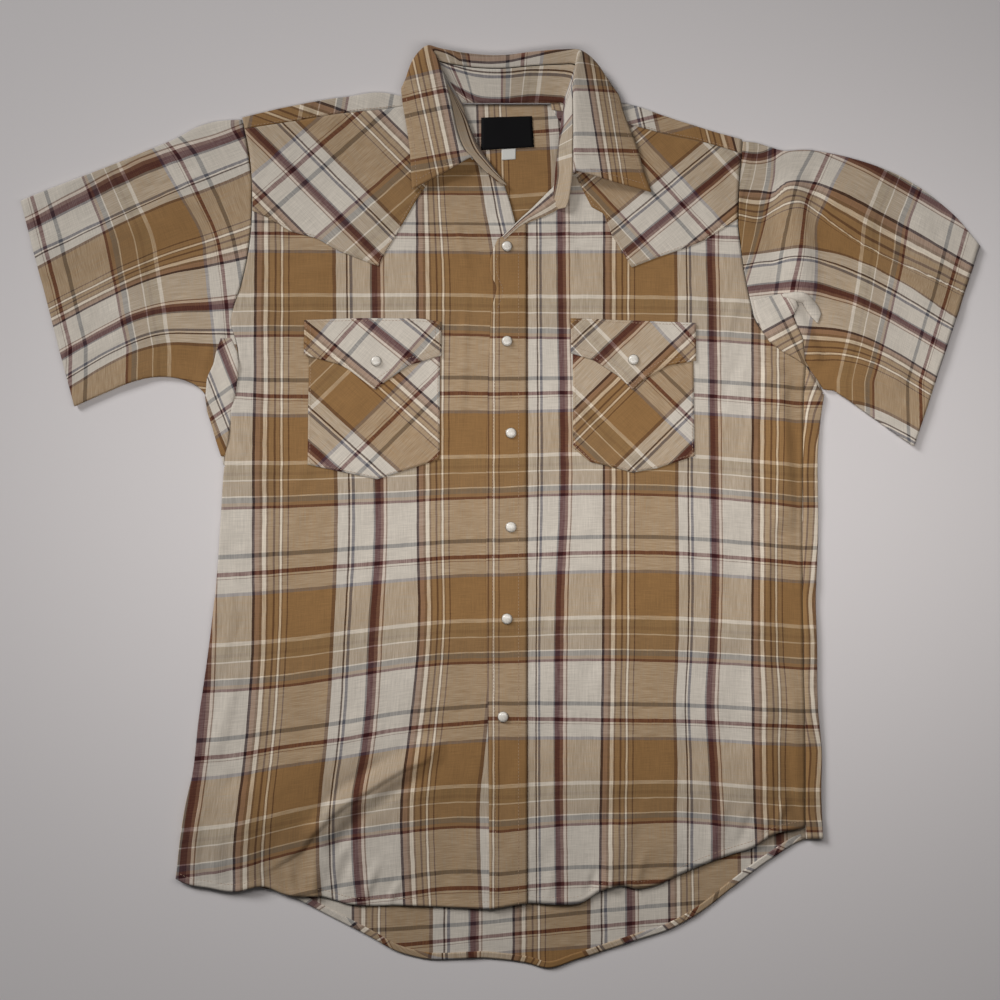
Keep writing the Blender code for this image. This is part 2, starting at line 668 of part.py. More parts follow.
def collar(material):
    """The fall: over the roll, behind at the back and down on the fronts as two leaves."""
    rows = []
    sections = collar_sections(*LEAF_SECTIONS, 2)
    stand_top = [mix(base, roll, STAND_SHARE) for base, roll, _, _ in sections]
    for k, (base, roll, mid, edge) in enumerate(sections):
        ahead = stand_top[min(k + 1, len(sections) - 1)] - stand_top[max(k - 1, 0)]
        up = (roll - base) / np.linalg.norm(roll - base)
        slant = np.linalg.norm(np.cross(up, ahead)) / np.linalg.norm(ahead)
        seam = stand_top[k] + up * COLLAR_GAP / slant
        rows.append(through([seam, roll, mid, edge], FALL_STEPS))
    cloth("collar", rows, BAND, material, side=0.0, flip=True)


def snap(name, x, y, under, material):
    """A pearl cap set in a ring, turned on its own axis."""
    shape = bmesh.new()
    points = [
        shape.verts.new(Vector((radius, 0.0, height)) * MM)
        for radius, height in zip(*SNAP.values())
    ]
    edges = [shape.edges.new(pair) for pair in zip(points, points[1:])]
    bmesh.ops.spin(
        shape, geom=points + edges, axis=(0, 0, 1), cent=(0, 0, 0), steps=SNAP_SIDES,
        angle=math.tau,
    )
    bmesh.ops.remove_doubles(shape, verts=shape.verts, dist=1e-6)
    bmesh.ops.recalc_face_normals(shape, faces=shape.faces)
    piece = solid(name, shape, material)
    piece.data.set_sharp_from_angle(angle=math.radians(40))
    piece.location = Vector((x, y, under)) * MM


def snaps(material):
    for number, (x, y) in enumerate(zip(*FRONT_SNAPS.values()), 1):
        snap(f"front_snap_{number}", x, y, on_front(x, y) + BAND + SEAM, material)
    for name, (x, y) in (
        ("right_flap_snap", RIGHT_FLAP_SNAP),
        ("left_flap_snap", LEFT_FLAP_SNAP),
    ):
        snap(name, x, y, on_pocket(x, y) + TRIM + SEAM, material)


def neck_piece(name, corners, material):
    """A small flat piece sewn to the inside of the back yoke."""
    rows = [[(*corner, BACK_TOP + SEAM) for corner in row] for row in corners]
    cloth(name, rows, TRIM, material)


brown = finish("plaid cotton, brown ground", (0.26, 0.15, 0.07), 0.9)
tan = finish("plaid cotton, tan ground", (0.40, 0.29, 0.19), 0.9)
white = finish("plaid cotton, white ground", (0.56, 0.52, 0.47), 0.9)
pearl = finish("pearl snap", (0.72, 0.70, 0.66), 0.25)
label_cloth = finish("black label cloth", (0.02, 0.018, 0.02), 0.8)
tape = finish("white tape", (0.7, 0.69, 0.66), 0.8)

right_front(tan)
left_front(tan)
back(brown)
back_yoke(brown)
front_yokes(white)
pockets(brown, tan)
placket(brown)
right_sleeve(white)
left_sleeve(brown)
collar_stand(tan)
collar(tan)
snaps(pearl)
neck_piece("neck_label", LABEL, label_cloth)
neck_piece("size_tab", TAB, tape)
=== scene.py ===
import math

import bpy
import numpy as np
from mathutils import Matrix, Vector


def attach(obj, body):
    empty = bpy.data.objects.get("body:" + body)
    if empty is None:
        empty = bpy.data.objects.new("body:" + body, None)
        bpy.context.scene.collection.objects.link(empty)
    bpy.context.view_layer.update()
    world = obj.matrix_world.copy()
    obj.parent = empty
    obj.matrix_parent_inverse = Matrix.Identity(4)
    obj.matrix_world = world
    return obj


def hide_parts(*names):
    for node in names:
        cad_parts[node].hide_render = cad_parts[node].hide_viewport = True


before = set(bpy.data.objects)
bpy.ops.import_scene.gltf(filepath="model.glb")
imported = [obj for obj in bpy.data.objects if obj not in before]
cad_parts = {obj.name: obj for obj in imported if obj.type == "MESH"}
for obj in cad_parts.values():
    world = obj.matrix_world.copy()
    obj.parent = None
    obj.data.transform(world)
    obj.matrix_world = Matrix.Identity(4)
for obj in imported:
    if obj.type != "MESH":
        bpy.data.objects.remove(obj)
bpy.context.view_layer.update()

# ------------------------------
# Table, lamps and camera. The shirt lies on a plain pale sheet, lit by a soft box close above it
# and by a window. The camera looks almost straight down from nearly a metre up.


def dial(node, sockets):
    """Sets a node's own sockets, by name."""
    for socket, value in sockets.items():
        node.inputs[socket].default_value = value


def finish(name, sockets):
    """A material whose shader has the given values."""
    made = bpy.data.materials.new(name)
    made.use_nodes = True
    dial(made.node_tree.nodes["Principled BSDF"], sockets)
    return made


def aimed(name, data, place, aim):
    """Puts a lamp or the camera in its place, facing a point."""
    holder = bpy.data.objects.new(name, data)
    holder.location = place
    holder.rotation_euler = (Vector(aim) - Vector(place)).to_track_quat("-Z", "Y").to_euler()
    bpy.context.scene.collection.objects.link(holder)
    return holder


def lamp(name, place, aim, wide, deep, watts, tint):
    """A soft box that faces the given point."""
    light = bpy.data.lights.new(name, "AREA")
    light.shape = "RECTANGLE"
    light.size = wide
    light.size_y = deep
    light.energy = watts
    light.color = tint
    aimed(name, light, place, aim)


bpy.ops.mesh.primitive_plane_add(size=6.0, location=(0.0, 0.0, -0.0006))
table_top = bpy.context.object
table_top.name = "table_top"
pale_sheet = finish("pale bed sheet", {"Base Color": (0.72, 0.675, 0.67, 1.0), "Roughness": 0.95})
table_top.data.materials.append(pale_sheet)

lamp("lamp overhead", (0.08, 0.03, 0.45), (0.08, 0.03, 0.0), 0.9, 0.2, 1.75, (1.0, 0.985, 0.965))
lamp("window", (-4.6, 3.8, 3.0), (0.0, 0.0, 0.0), 2.0, 2.0, 312.0, (0.97, 0.99, 1.0))
room = bpy.data.worlds.new("room")
room.use_nodes = True
dial(room.node_tree.nodes["Background"], {"Color": (0.97, 0.98, 1.0, 1.0), "Strength": 0.05})
bpy.context.scene.world = room
bpy.context.scene.view_settings.view_transform = "Standard"

eye = bpy.data.cameras.new("eye")
eye.lens = 40.0
eye.sensor_width = 36.0
bpy.context.scene.camera = aimed("watcher", eye, (0.0, -0.0673, 0.979), (0.0, -0.005, 0.0))

# ------------------------------
# Fronts. Two panels of yarn-dyed plaid cotton poplin, cut on the straight. The right one turns
# under at the side and runs on below the placket; the left one ends at its side seam.

MM = 0.001
WARP_REPEAT = 138.0
WEFT_REPEAT = 144.2
# Stripes of the plaid: where each starts, in mm, and its colour as the eye sees it.
WARP_STRIPES = (
    (0.0, 0.12, 0.06, 0.07), (1.8, 0.56, 0.42, 0.335), (5.9, 0.42, 0.31, 0.23),
    (7.8, 0.90, 0.83, 0.74), (11.2, 0.40, 0.29, 0.20), (12.4, 0.57, 0.435, 0.285),
    (16.7, 0.30, 0.19, 0.12), (17.9, 0.57, 0.435, 0.285), (20.8, 0.44, 0.32, 0.22),
    (21.9, 0.93, 0.86, 0.76), (23.3, 0.44, 0.32, 0.22), (24.4, 0.57, 0.435, 0.285),
    (27.8, 0.30, 0.19, 0.12), (29.0, 0.555, 0.415, 0.26), (64.4, 0.35, 0.235, 0.155),
    (67.7, 0.80, 0.76, 0.71), (77.0, 0.20, 0.14, 0.12), (78.3, 0.88, 0.83, 0.77),
    (80.2, 0.37, 0.36, 0.39), (82.9, 0.80, 0.76, 0.71), (98.7, 0.40, 0.38, 0.39),
    (100.7, 0.20, 0.05, 0.07), (105.4, 0.36, 0.22, 0.20), (108.1, 0.84, 0.76, 0.70),
    (110.1, 0.45, 0.35, 0.30), (111.2, 0.80, 0.76, 0.71),
)
WEFT_STRIPES = (
    (0.0, 0.21, 0.06, 0.07), (1.7, 0.80, 0.76, 0.71), (35.5, 0.32, 0.33, 0.35),
    (39.3, 0.80, 0.76, 0.71), (49.2, 0.22, 0.05, 0.06), (52.9, 0.82, 0.78, 0.72),
    (54.1, 0.34, 0.22, 0.20), (55.1, 0.80, 0.76, 0.71), (66.3, 0.42, 0.40, 0.43),
    (69.0, 0.555, 0.415, 0.26), (106.0, 0.86, 0.79, 0.70), (109.7, 0.52, 0.42, 0.29),
    (116.0, 0.46, 0.36, 0.25), (118.6, 0.52, 0.42, 0.29), (121.7, 0.88, 0.82, 0.74),
    (122.8, 0.54, 0.43, 0.31), (135.3, 0.90, 0.85, 0.78), (136.7, 0.40, 0.39, 0.385),
    (140.9, 0.54, 0.42, 0.32), (143.8, 0.21, 0.06, 0.07),
)


def embossed(tree, height, strength, depth):
    """Raises and lowers a material's surface slightly, by a height."""
    relief = tree.nodes.new("ShaderNodeBump")
    dial(relief, {"Strength": strength, "Distance": depth})
    tree.links.new(height, relief.inputs["Height"])
    tree.links.new(relief.outputs[0], tree.nodes["Principled BSDF"].inputs["Normal"])


def plaid_cotton(name, bump=0.35):
    """Yarn-dyed plaid poplin: two sets of stripes that cross in the weave, the warp a little on top.

    The stripes are laid by the map "cloth", which counts repeats of the pattern.
    """
    cotton = finish(name, {"Specular IOR Level": 0.25, "Sheen Weight": 0.12, "Sheen Roughness": 0.5})
    tree = cotton.node_tree
    links = tree.links
    shader = tree.nodes["Principled BSDF"]

    def node(kind, **settings):
        made = tree.nodes.new(kind)
        for key, value in settings.items():
            setattr(made, key, value)
        return made

    def sum_of(kind, first, second=0.0):
        made = node("ShaderNodeMath", operation=kind)
        for socket, value in zip(made.inputs, (first, second)):
            if isinstance(value, float):
                socket.default_value = value
            else:
                links.new(value, socket)
        return made.outputs[0]

    def scaled(value, middle, times):
        return sum_of("MULTIPLY", sum_of("SUBTRACT", value, middle), times)

    def noise(place, sockets):
        made = node("ShaderNodeTexNoise", noise_dimensions="2D")
        dial(made, sockets)
        links.new(place, made.inputs["Vector"])
        return made.outputs["Fac"]

    lie = node("ShaderNodeUVMap", uv_map="cloth").outputs["UV"]
    split = node("ShaderNodeSeparateXYZ")
    links.new(lie, split.inputs[0])

    def threads(across, along, stripes, repeat, fine, long):
        """One set of yarns: its stripes, and the uneven slubs that run along it."""
        drift = noise(lie, {"Scale": 9.0, "Detail": 2.0})
        place = sum_of("FRACT", sum_of("ADD", across, scaled(drift, 0.5, 0.7 / repeat)))
        ramp = node("ShaderNodeValToRGB")
        ramp.color_ramp.interpolation = "CONSTANT"
        stops = ramp.color_ramp.elements
        for start, *colour in stripes:
            stop = stops[0] if start == 0.0 else stops.new(start / repeat)
            stop.color = (*colour, 1.0)
        stops.remove(stops[len(stops) - 1])
        links.new(place, ramp.inputs["Fac"])
        stretch = node("ShaderNodeCombineXYZ")
        links.new(sum_of("MULTIPLY", across, fine), stretch.inputs[0])
        links.new(sum_of("MULTIPLY", along, long), stretch.inputs[1])
        slub = noise(stretch.outputs[0], {"Scale": 1.0, "Detail": 3.0, "Roughness": 0.62})
        return ramp.outputs["Color"], slub

    u, v = split.outputs[0], split.outputs[1]
    warp, warp_slub = threads(u, v, WARP_STRIPES, WARP_REPEAT, 190.0, 7.0)
    weft, weft_slub = threads(v, u, WEFT_STRIPES, WEFT_REPEAT, 200.0, 8.0)
    cross = node("ShaderNodeMix", data_type="RGBA")
    links.new(sum_of("ADD", scaled(weft_slub, warp_slub, 0.42), 0.40), cross.inputs["Factor"])
    links.new(warp, cross.inputs[6])
    links.new(weft, cross.inputs[7])
    slubs = sum_of("ADD", warp_slub, weft_slub)
    shaded = node("ShaderNodeVectorMath", operation="SCALE")
    links.new(cross.outputs[2], shaded.inputs[0])
    links.new(sum_of("ADD", scaled(slubs, 1.0, 0.20), 1.0), shaded.inputs["Scale"])
    daylight = node("ShaderNodeGamma")
    daylight.inputs["Gamma"].default_value = 2.2
    links.new(shaded.outputs[0], daylight.inputs["Color"])
    links.new(daylight.outputs[0], shader.inputs["Base Color"])
    links.new(sum_of("ADD", sum_of("MULTIPLY", slubs, 0.06), 0.80), shader.inputs["Roughness"])
    embossed(tree, slubs, bump, 0.0003)
    return cotton


def table(names, *rows):
    """A table as a dictionary of named columns."""
    return dict(zip(names.split(), np.array(rows, float).T))


def smooth(data, along, value):
    """A smooth line through two columns of a table, level past its ends."""
    order = np.argsort(data[along])
    places = data[along][order]
    values = data[value][order]
    slopes = np.gradient(values, places)

    def at(place):
        place = np.clip(np.asarray(place, float), places[0], places[-1])
        i = np.clip(np.searchsorted(places, place, "right") - 1, 0, len(places) - 2)
        span = places[i + 1] - places[i]
        t = (place - places[i]) / span
        rise = values[i + 1] - values[i]
        bend, end_bend = slopes[i] * span, slopes[i + 1] * span
        return (
            values[i] + bend * t + (3 * rise - 2 * bend - end_bend) * t**2
            + (bend + end_bend - 2 * rise) * t**3
        )

    return at


def cornered(data, along, value):
    """The same with straight stretches, for edges with corners."""
    order = np.argsort(data[along])
    return lambda place: np.interp(place, data[along][order], data[value][order])


def mix(a, b, t):
    """The place at a share of the way from the first to the second."""
    return a + (b - a) * t


def steps(*stops):
    """Heights of rows, from stops with the count of rows between them: height, count, height ..."""
    parts = [np.linspace(low, high, int(n), endpoint=False)
             for low, n, high in zip(stops[::2], stops[1::2], stops[2::2])]
    return np.concatenate(parts + [[stops[-1]]])


def rule(starts, ends, columns, hem, top=None):
    """Grids of x and y between two edges, the first row bent to a hem and the last to a top."""
    across = np.linspace(0, 1, columns + 1)
    up = np.linspace(0, 1, len(starts))[:, None]
    x = mix(starts[:, :1], ends[:, :1], across)
    y = mix(starts[:, 1:], ends[:, 1:], across)
    bent = y + (hem(x[0]) - y[0]) * (1 - up) ** 3
    if top:
        bent = bent + (top(x[-1]) - y[-1]) * up**3
    return x, bent


def chart(place, lines, repeats):
    """Count of pattern repeats at a place, from where known lines of the pattern run past it."""
    count = repeats[0] + (place - lines[0]) * (repeats[1] - repeats[0]) / (lines[1] - lines[0])
    for low, high, first, last in zip(lines[1:], lines[2:], repeats[1:], repeats[2:]):
        count = np.where(place >= low, first + (place - low) * (last - first) / (high - low), count)
    return count


def counted(place, lines, along, at, repeat, sign=1):
    """The same from a table of lines, whose column "along" says where each row of it lies."""
    names = [name for name in lines if name != along]
    return chart(sign * place, [sign * smooth(lines, along, name)(at) for name in names],
                 [float(name[1:]) / repeat for name in names])


def laid_plaid(x, y, warps, wefts):
    """The map of a panel, from tables of its warp lines by height and its weft lines by place."""
    return (counted(x, warps, "y", y, WARP_REPEAT), counted(y, wefts, "x", x, WEFT_REPEAT, -1))


def put(name, points, corners, material, place=(0.0, 0.0, 0.0)):
    """Makes one piece of the shirt, from points in millimetres and the faces between them."""
    mesh = bpy.data.meshes.new(name)
    mesh.from_pydata((np.asarray(points) * MM).tolist(), [], corners)
    mesh.shade_smooth()
    mesh.materials.append(material)
    piece = bpy.data.objects.new(name, mesh)
    piece.location = Vector(place) * MM
    bpy.context.scene.collection.objects.link(piece)
    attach(piece, "root")
    return piece


def cloth(name, node, x, y, z, u, v, material, slot, cut, thick=0.5, held="laid", wrap=False,
          rests_on=()):
    """One sewn piece: a thin wall of cloth on grids of places in millimetres; NaN leaves one out.

    The cut, its flat width and length and the area of one wall in metres, is not used.
    """
    here = ~np.isnan(z)
    index = -np.ones(x.shape, int)
    index[here] = np.arange(here.sum())
    if wrap:
        index = np.column_stack([index, index[:, 0]])
    corners = np.stack([index[:-1, :-1], index[:-1, 1:], index[1:, 1:], index[1:, :-1]], -1)
    corners = corners.reshape(-1, 4)
    corners = corners[(corners >= 0).all(axis=1)]
    piece = put(name, np.stack([x, y, z], -1)[here], corners.tolist(), material)
    pattern = np.stack([u, v], -1)[here]
    lie = piece.data.uv_layers.new(name="cloth")
    lie.data.foreach_set("uv", pattern[corners].astype(np.float32).ravel())
    wall = piece.modifiers.new("thickness", "SOLIDIFY")
    wall.thickness = thick * MM
    wall.offset = 0.0
    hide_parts(node)


CLOTH = 1.2  # room that a panel has in height, as its solid's wall
HALF = CLOTH / 2
SEAM = 0.3  # gap between pieces that meet
FRONT_LOW = CLOTH + SEAM + HALF
FOLD_RADIUS = (FRONT_LOW - CLOTH) / 2 + HALF
FOLD_REACH = FOLD_RADIUS + 0.25  # how far in from a folded edge its turn starts
SIDE_TURN = 14.0
HEM_DEEP = 6.0
HEM_RISE = 0.45
HEM_SLOPE = 1.5
RIGHT_ARMPIT = 24.0
LEFT_ARMPIT = 88.8
LEFT_SEAM_TOP = 115.7
SHOULDER_ENDS = (329.0, 306.0)

RIGHT_EDGE = table(
    "y x",
    (-331.6, -279.6), (-297, -276.3), (-269, -272.1), (-245, -267.0), (-195, -262.1),
    (-135, -254.6), (-77, -248.9), (-20, -245.8), (24, -243.4), (57, -239.5), (83, -236.8),
    (106, -234.0), (121, -231.8), (136, -234.0), (151, -239.0), (169, -236.8), (187, -230.8),
    (210, -225.8), (241, -222.2), (282, -222.5), (310, -225.5), (340, -232.5),
)
LEFT_EDGE = table(
    "y x",
    (-288.3, 263.9), (-223, 265.0), (-128, 264.6), (39, 267.5), (84, 269.1), (115.7, 271.5),
)
LEFT_ARMHOLE = table(
    "y x",
    (88.8, 287.4), (115.7, 271.5), (126.5, 253.0), (137, 241.5), (147, 232.0), (157, 226.2),
    (171, 223.1), (185, 220.3), (200, 217.7), (215, 215.6), (241, 212.9), (275, 213.9),
    (309, 217.0), (320, 218.0),
)
FRONT_HEM = table(
    "x y",
    (-279.6, -331.6), (-272, -335.5), (-250, -340), (-228, -342.9), (-205, -338.3),
    (-183, -345.7), (-153, -347.2), (-130, -353.5), (-85, -354.6), (-40, -356.0), (-9, -357.4),
    (22, -352.6), (51, -353.7), (72, -351.3), (84, -343.6), (103, -337.6), (119, -340.6),
    (134, -337.8), (155, -328.6), (180, -318.3), (201, -311.2), (220, -304.5), (233, -295.7),
    (264, -288.3),
)
RIGHT_SHOULDER = table(
    "x fold seam",
    (-233, 339.9, 328.6), (-190, 350.2, 335.4), (-137, 359.3, 343.9), (-104, 362.9, 347.2),
    (-88, 359.5, 349.8), (-41, 354.5, 351.4),
)
LEFT_SHOULDER = table(
    "x fold seam",
    (46, 354.5, 347.0), (100, 354.8, 337.5), (125, 349.9, 330.9), (139, 344.9, 327.0),
    (193, 326.8, 314.0), (218, 319.5, 305.6),
)
RIGHT_FRONT_INNER = table(
    "y x",
    (-357, 19), (200, 19), (218, 17.9), (244, 13.4), (264, 8.1), (281, 2.7), (296, -9.0),
    (310, -19.8), (328, -30.6), (352, -40.5),
)
LEFT_FRONT_INNER = table(
    "y x",
    (-357, 22.8), (246.5, 22.8), (256.5, 33.9), (263.6, 45.0), (283, 49.0), (299, 53.0),
    (315, 56.0), (332, 56.0), (347, 47.0),
)


def folds_of(*rows):
    """Folds: where each runs, its width and its height, which is below zero for a trough."""
    return table("x0 y0 x1 y1 width height", *rows)


# Broad folds that the solids have too.
FRONT_FOLDS = folds_of(
    (-158, -287, -60, -223, 34, 2.4),
    (-214, -338, -224, -262, 36, 2.0),
    (-168, -350, -150, -296, 30, 1.8),
    (-236, 110, -214, 10, 36, 1.8),
    (244, 104, 248, -20, 34, 2.4),
    (252, -300, 226, -225, 34, 2.0),
    (95, -342, 108, -285, 30, 1.6),
    (226, -60, 232, -190, 40, 1.5),
)


def beside(x, y, x0, y0, x1, y1):
    """Share of the way along a line, distance from it, and whether a place is on its left."""
    run = np.array((x1 - x0, y1 - y0))
    along = np.clip(((x - x0) * run[0] + (y - y0) * run[1]) / (run @ run), 0, 1)
    off = np.hypot(x - x0 - run[0] * along, y - y0 - run[1] * along)
    return along, off, run[0] * (y - y0) > run[1] * (x - x0)


def ridges(x, y, folds, fade=lambda along: 1.0):
    """Height of broad folds, as the solids have it."""
    height = np.zeros(np.broadcast(x, y).shape)
    for *line, width, top in zip(*folds.values()):
        along, off, _ = beside(x, y, *line)
        height = height + top * fade(along) * (1 - np.minimum(off / (width / 2), 1) ** 2) ** 2
    return height


def creased(x, y, folds):
    """Height of creases, which fade out at both ends."""
    return ridges(x, y, folds, lambda along: np.sin(np.pi * np.clip(along, 0.02, 0.98)) ** 0.5)


# Finer creases, which only the cloth has.
FRONT_CREASES = folds_of(
    (-150, -312, -112, -272, 20, -1.4), (-112, -272, -70, -244, 18, -1.2),
    (-170, -288, -140, -256, 14, -0.9), (-140, -256, -100, -230, 14, -0.8),
    (-176, -352, -182, -322, 12, 1.6), (-158, -354, -160, -318, 10, 1.4),
    (-142, -352, -128, -306, 14, -1.3), (-120, -356, -104, -316, 12, 1.3),
    (-98, -356, -84, -330, 10, 1.1), (-230, -342, -236, -290, 16, -1.2),
    (-262, -334, -262, -270, 12, 1.1), (-244, -338, -246, -316, 9, 1.0),
    (-250, -236, -228, -150, 20, 1.2), (-242, -150, -232, -80, 16, 0.9),
    (-238, 86, -226, 20, 12, 1.3), (-230, 128, -190, 60, 22, -1.2),
    (-222, 190, -196, 120, 20, 1.1), (-218, 240, -204, 180, 14, -1.0),
    (-236, 60, -196, 40, 12, 0.9), (-232, 0, -212, -40, 12, 0.8),
    (-210, 20, -200, -90, 30, 0.8), (-120, 60, -60, -40, 34, -0.7),
    (-60, 180, -52, 60, 18, 0.8), (-110, -60, -40, -150, 28, 0.8),
    (-190, -120, -120, -200, 26, -0.8), (-30, 190, -34, 60, 12, 0.9),
    (-150, 60, -190, -10, 18, 0.7), (-190, 196, -130, 206, 14, 0.7), (-40, 246, -28, 200, 10, 0.8),
    (250, 96, 252, 10, 11, 1.5), (262, 60, 262, -60, 12, -1.2),
    (236, 110, 216, 36, 15, 1.4), (222, 140, 190, 70, 16, -1.1),
    (214, 180, 190, 110, 14, 1.0), (240, -20, 228, -120, 14, 1.1), (258, 104, 240, 70, 9, 1.2),
    (254, -160, 258, -262, 14, 1.3), (246, -262, 236, -292, 10, 1.8),
    (222, -268, 206, -304, 12, -1.3), (196, -260, 182, -312, 15, 1.1),
    (256, -252, 262, -284, 8, 1.4), (232, -272, 228, -292, 8, 1.2),
    (150, -300, 158, -326, 10, 1.1), (96, -344, 92, -318, 9, 1.5),
    (74, -350, 84, -322, 10, -1.4), (116, -340, 124, -312, 10, 1.3),
    (40, -352, 46, -318, 12, 0.9), (60, 20, 110, -60, 30, 0.8),
    (110, -80, 60, -190, 30, -0.8), (150, -20, 176, -120, 26, 0.8),
    (60, 236, 70, 176, 16, 0.8), (150, 200, 190, 150, 20, 0.9),
    (30, 226, 34, 130, 10, 0.7), (30, 40, 28, -60, 10, 0.6), (100, 240, 60, 214, 10, 0.7),
)


# Folds that the fronts were pressed into. Each rises slowly on the left of its line and drops on
# the right of it: one sharp fold above the right hem, and two broad ones.
SHARP_FOLD = table(
    "x y height",
    (-206.6, -328.7, 0.0), (-191.7, -319.8, 1.1), (-170.8, -306.6, 1.6), (-161.8, -294.2, 1.7),
    (-149.2, -281.8, 1.7), (-135.0, -269.4, 1.7), (-117.2, -258.8, 1.7), (-100.3, -248.2, 1.6),
    (-83.4, -238.5, 1.4), (-65.7, -232.4, 1.1), (-42.7, -210.4, 0.0),
)
RIGHT_SWELL = table(
    "x y height",
    (-266, -326, 0), (-243, -301, 3.8), (-200, -266, 5.0), (-163, -232, 3.6), (-123, -201, 1.4),
    (-98, -181, 0),
)
LEFT_SWELL = table(
    "x y height",
    (218, -318, 0), (224, -290, 2.0), (226, -240, 2.4), (222, -190, 2.0), (214, -140, 0),
)
# Each with the lengths of its rise and of its drop.
PRESSED = ((SHARP_FOLD, 22.0, 1.9), (RIGHT_SWELL, 120.0, 82.0), (LEFT_SWELL, 80.0, 44.0))


def lapped(x, y, fold, slope, drop):
    """Height of a pressed fold: a long rise on the left of its line and a short drop on its right."""
    height = np.zeros(np.broadcast(x, y).shape)
    near = np.full(height.shape, 1e9)
    points = list(zip(*fold.values()))
    for (x0, y0, first), (x1, y1, last) in zip(points, points[1:]):
        along, off, left = beside(x, y, x0, y0, x1, y1)
        share = np.clip(off / np.where(left, slope, drop), 0, 1)
        profile = np.where(left, (1 - share) ** 1.5, 1 - share**2 * (3 - 2 * share))
        height = np.where(off < near, mix(first, last, along) * profile, height)
        near = np.minimum(near, off)
    return height


def ripple(x, y, seed):
    """Slight unevenness all over, as cotton keeps after it has been folded."""
    turn = np.random.default_rng(seed)
    height = 0
    for span in (23.0, 31.0, 44.0, 60.0, 82.0):
        angle, phase = turn.uniform(0, math.pi), turn.uniform(0, math.tau)
        way = x * math.cos(angle) + y * math.sin(angle)
        cross = y * math.cos(angle) - x * math.sin(angle)
        bent = way + 9.0 * np.sin(cross / span * 2.3 + phase)
        height = height + 0.16 * (span / 44.0) ** 0.7 * np.sin(bent * math.tau / span + phase)
    return height


def front_low(x, y):
    """Height of the underside of the fronts, as the solids have it."""
    sway = 0.35 * (1 + np.sin(x / 61 + 0.8) * np.sin(y / 74))
    return FRONT_LOW + sway + ridges(x, y, FRONT_FOLDS)


def front_middle(x, y):
    """Height of the middle of the fronts' cloth."""
    hem = np.clip((HEM_DEEP - y + front_hem(x)) / HEM_SLOPE, 0, 1) * HEM_RISE
    pressed = sum(lapped(x, y, *fold) for fold in PRESSED)
    return front_low(x, y) + HALF + creased(x, y, FRONT_CREASES) + pressed + ripple(x, y, 3) + hem


right_edge = smooth(RIGHT_EDGE, "y", "x")
left_edge = smooth(LEFT_EDGE, "y", "x")
left_armhole = smooth(LEFT_ARMHOLE, "y", "x")
right_inner = cornered(RIGHT_FRONT_INNER, "y", "x")
left_inner = cornered(LEFT_FRONT_INNER, "y", "x")
front_hem = smooth(FRONT_HEM, "x", "y")
right_seam = smooth(RIGHT_SHOULDER, "x", "seam")
left_seam = smooth(LEFT_SHOULDER, "x", "seam")

# Where the stripes lie: x of each warp line at a height, y of each weft line at a place. The
# number after the letter is the line's own place in the pattern, in mm.
RIGHT_FRONT_WARP = table(
    "y u-34.0 u0.9 u65.6 u104.0 u138.9 u215.6",
    (337, -262, -219.8, -151.2, -114.6, -75.1, -24.0),
    (284, -261.1, -219.1, -150.1, -113.4, -74.7, -9.0),
    (250, -260.5, -218.6, -149.4, -112.6, -74.4, -2.7),
    (218, -260, -218.2, -148.8, -111.8, -74.1, 4.0),
    (83, -258, -217.4, -146.8, -109.2, -73.0, 4.0),
    (-58, -256.5, -216.5, -145.0, -106.9, -71.9, 4.0),
    (-110, -256.2, -215.7, -146.7, -110.4, -70.7, 4.5),
    (-222, -260.1, -220.5, -152.2, -117.0, -80.4, -3.0),
    (-260, -264.6, -224.0, -155.8, -123.7, -84.9, -7.0),
    (-313, -271.5, -228.6, -157.5, -124.1, -84.6, -7.0),
    (-358, -273.2, -228.4, -154.3, -119.4, -82.1, -5.0),
)
RIGHT_FRONT_WEFT = table(
    "x v-106.9 v-93.4 v0.8 v50.8 v145.0 v195.0 v289.2 v339.2 v433.4 v483.4",
    (-277, 245.5, 235.0, 138.8, 89.6, -12.9, -72.4, -173.0, -230.0, -330.2, -387),
    (-233, 244.8, 234.5, 140.9, 88.7, -12.0, -70.2, -170.7, -226.7, -323.5, -375.1),
    (-184.7, 244.0, 234.0, 141.5, 87.0, -10.5, -66.7, -166.6, -218.9, -310.8, -361.1),
    (-136.3, 243.4, 233.5, 141.7, 87.4, -8.4, -62.8, -159.4, -212.7, -299.6, -351.2),
    (-87.9, 243.0, 233.2, 142.1, 88.7, -6.4, -59.0, -152.1, -204.6, -292.9, -345.4),
    (-39.6, 242.6, 232.6, 142.4, 89.8, -3.5, -55.3, -147.5, -200.1, -288.0, -339.6),
    (0, 242.2, 232.0, 141.0, 89.4, -2.6, -54.6, -146.9, -197.0, -289.0, -340.0),
)
LEFT_FRONT_WARP = table(
    "y u65.6 u104.0 u138.9 u203.6 u242.0 u276.9",
    (282, 23.3, 53.7, 93.3, 156.9, 187.7, 226.5), (218, 23.2, 54.0, 92.8, 156.5, 187.4, 225.4),
    (173, 23.1, 54.3, 92.5, 156.2, 188.1, 224.7), (83, 23.0, 55.6, 92.0, 155.7, 188.4, 223.4),
    (-20, 22.8, 55.3, 91.0, 155.0, 188.4, 221.8), (-58, 22.8, 53.0, 90.7, 154.8, 188.4, 221.2),
    (-145, 22.7, 50.3, 89.8, 153.5, 184.5, 219.6), (-177, 22.6, 50.1, 89.2, 151.5, 182.0, 219.4),
    (-235, 22.5, 49.9, 87.9, 151.9, 184.5, 219.2), (-282, 22.5, 50.1, 86.8, 150.9, 186.3, 220.2),
    (-333, 22.4, 50.8, 86.1, 150.2, 185.9, 221.6),
)
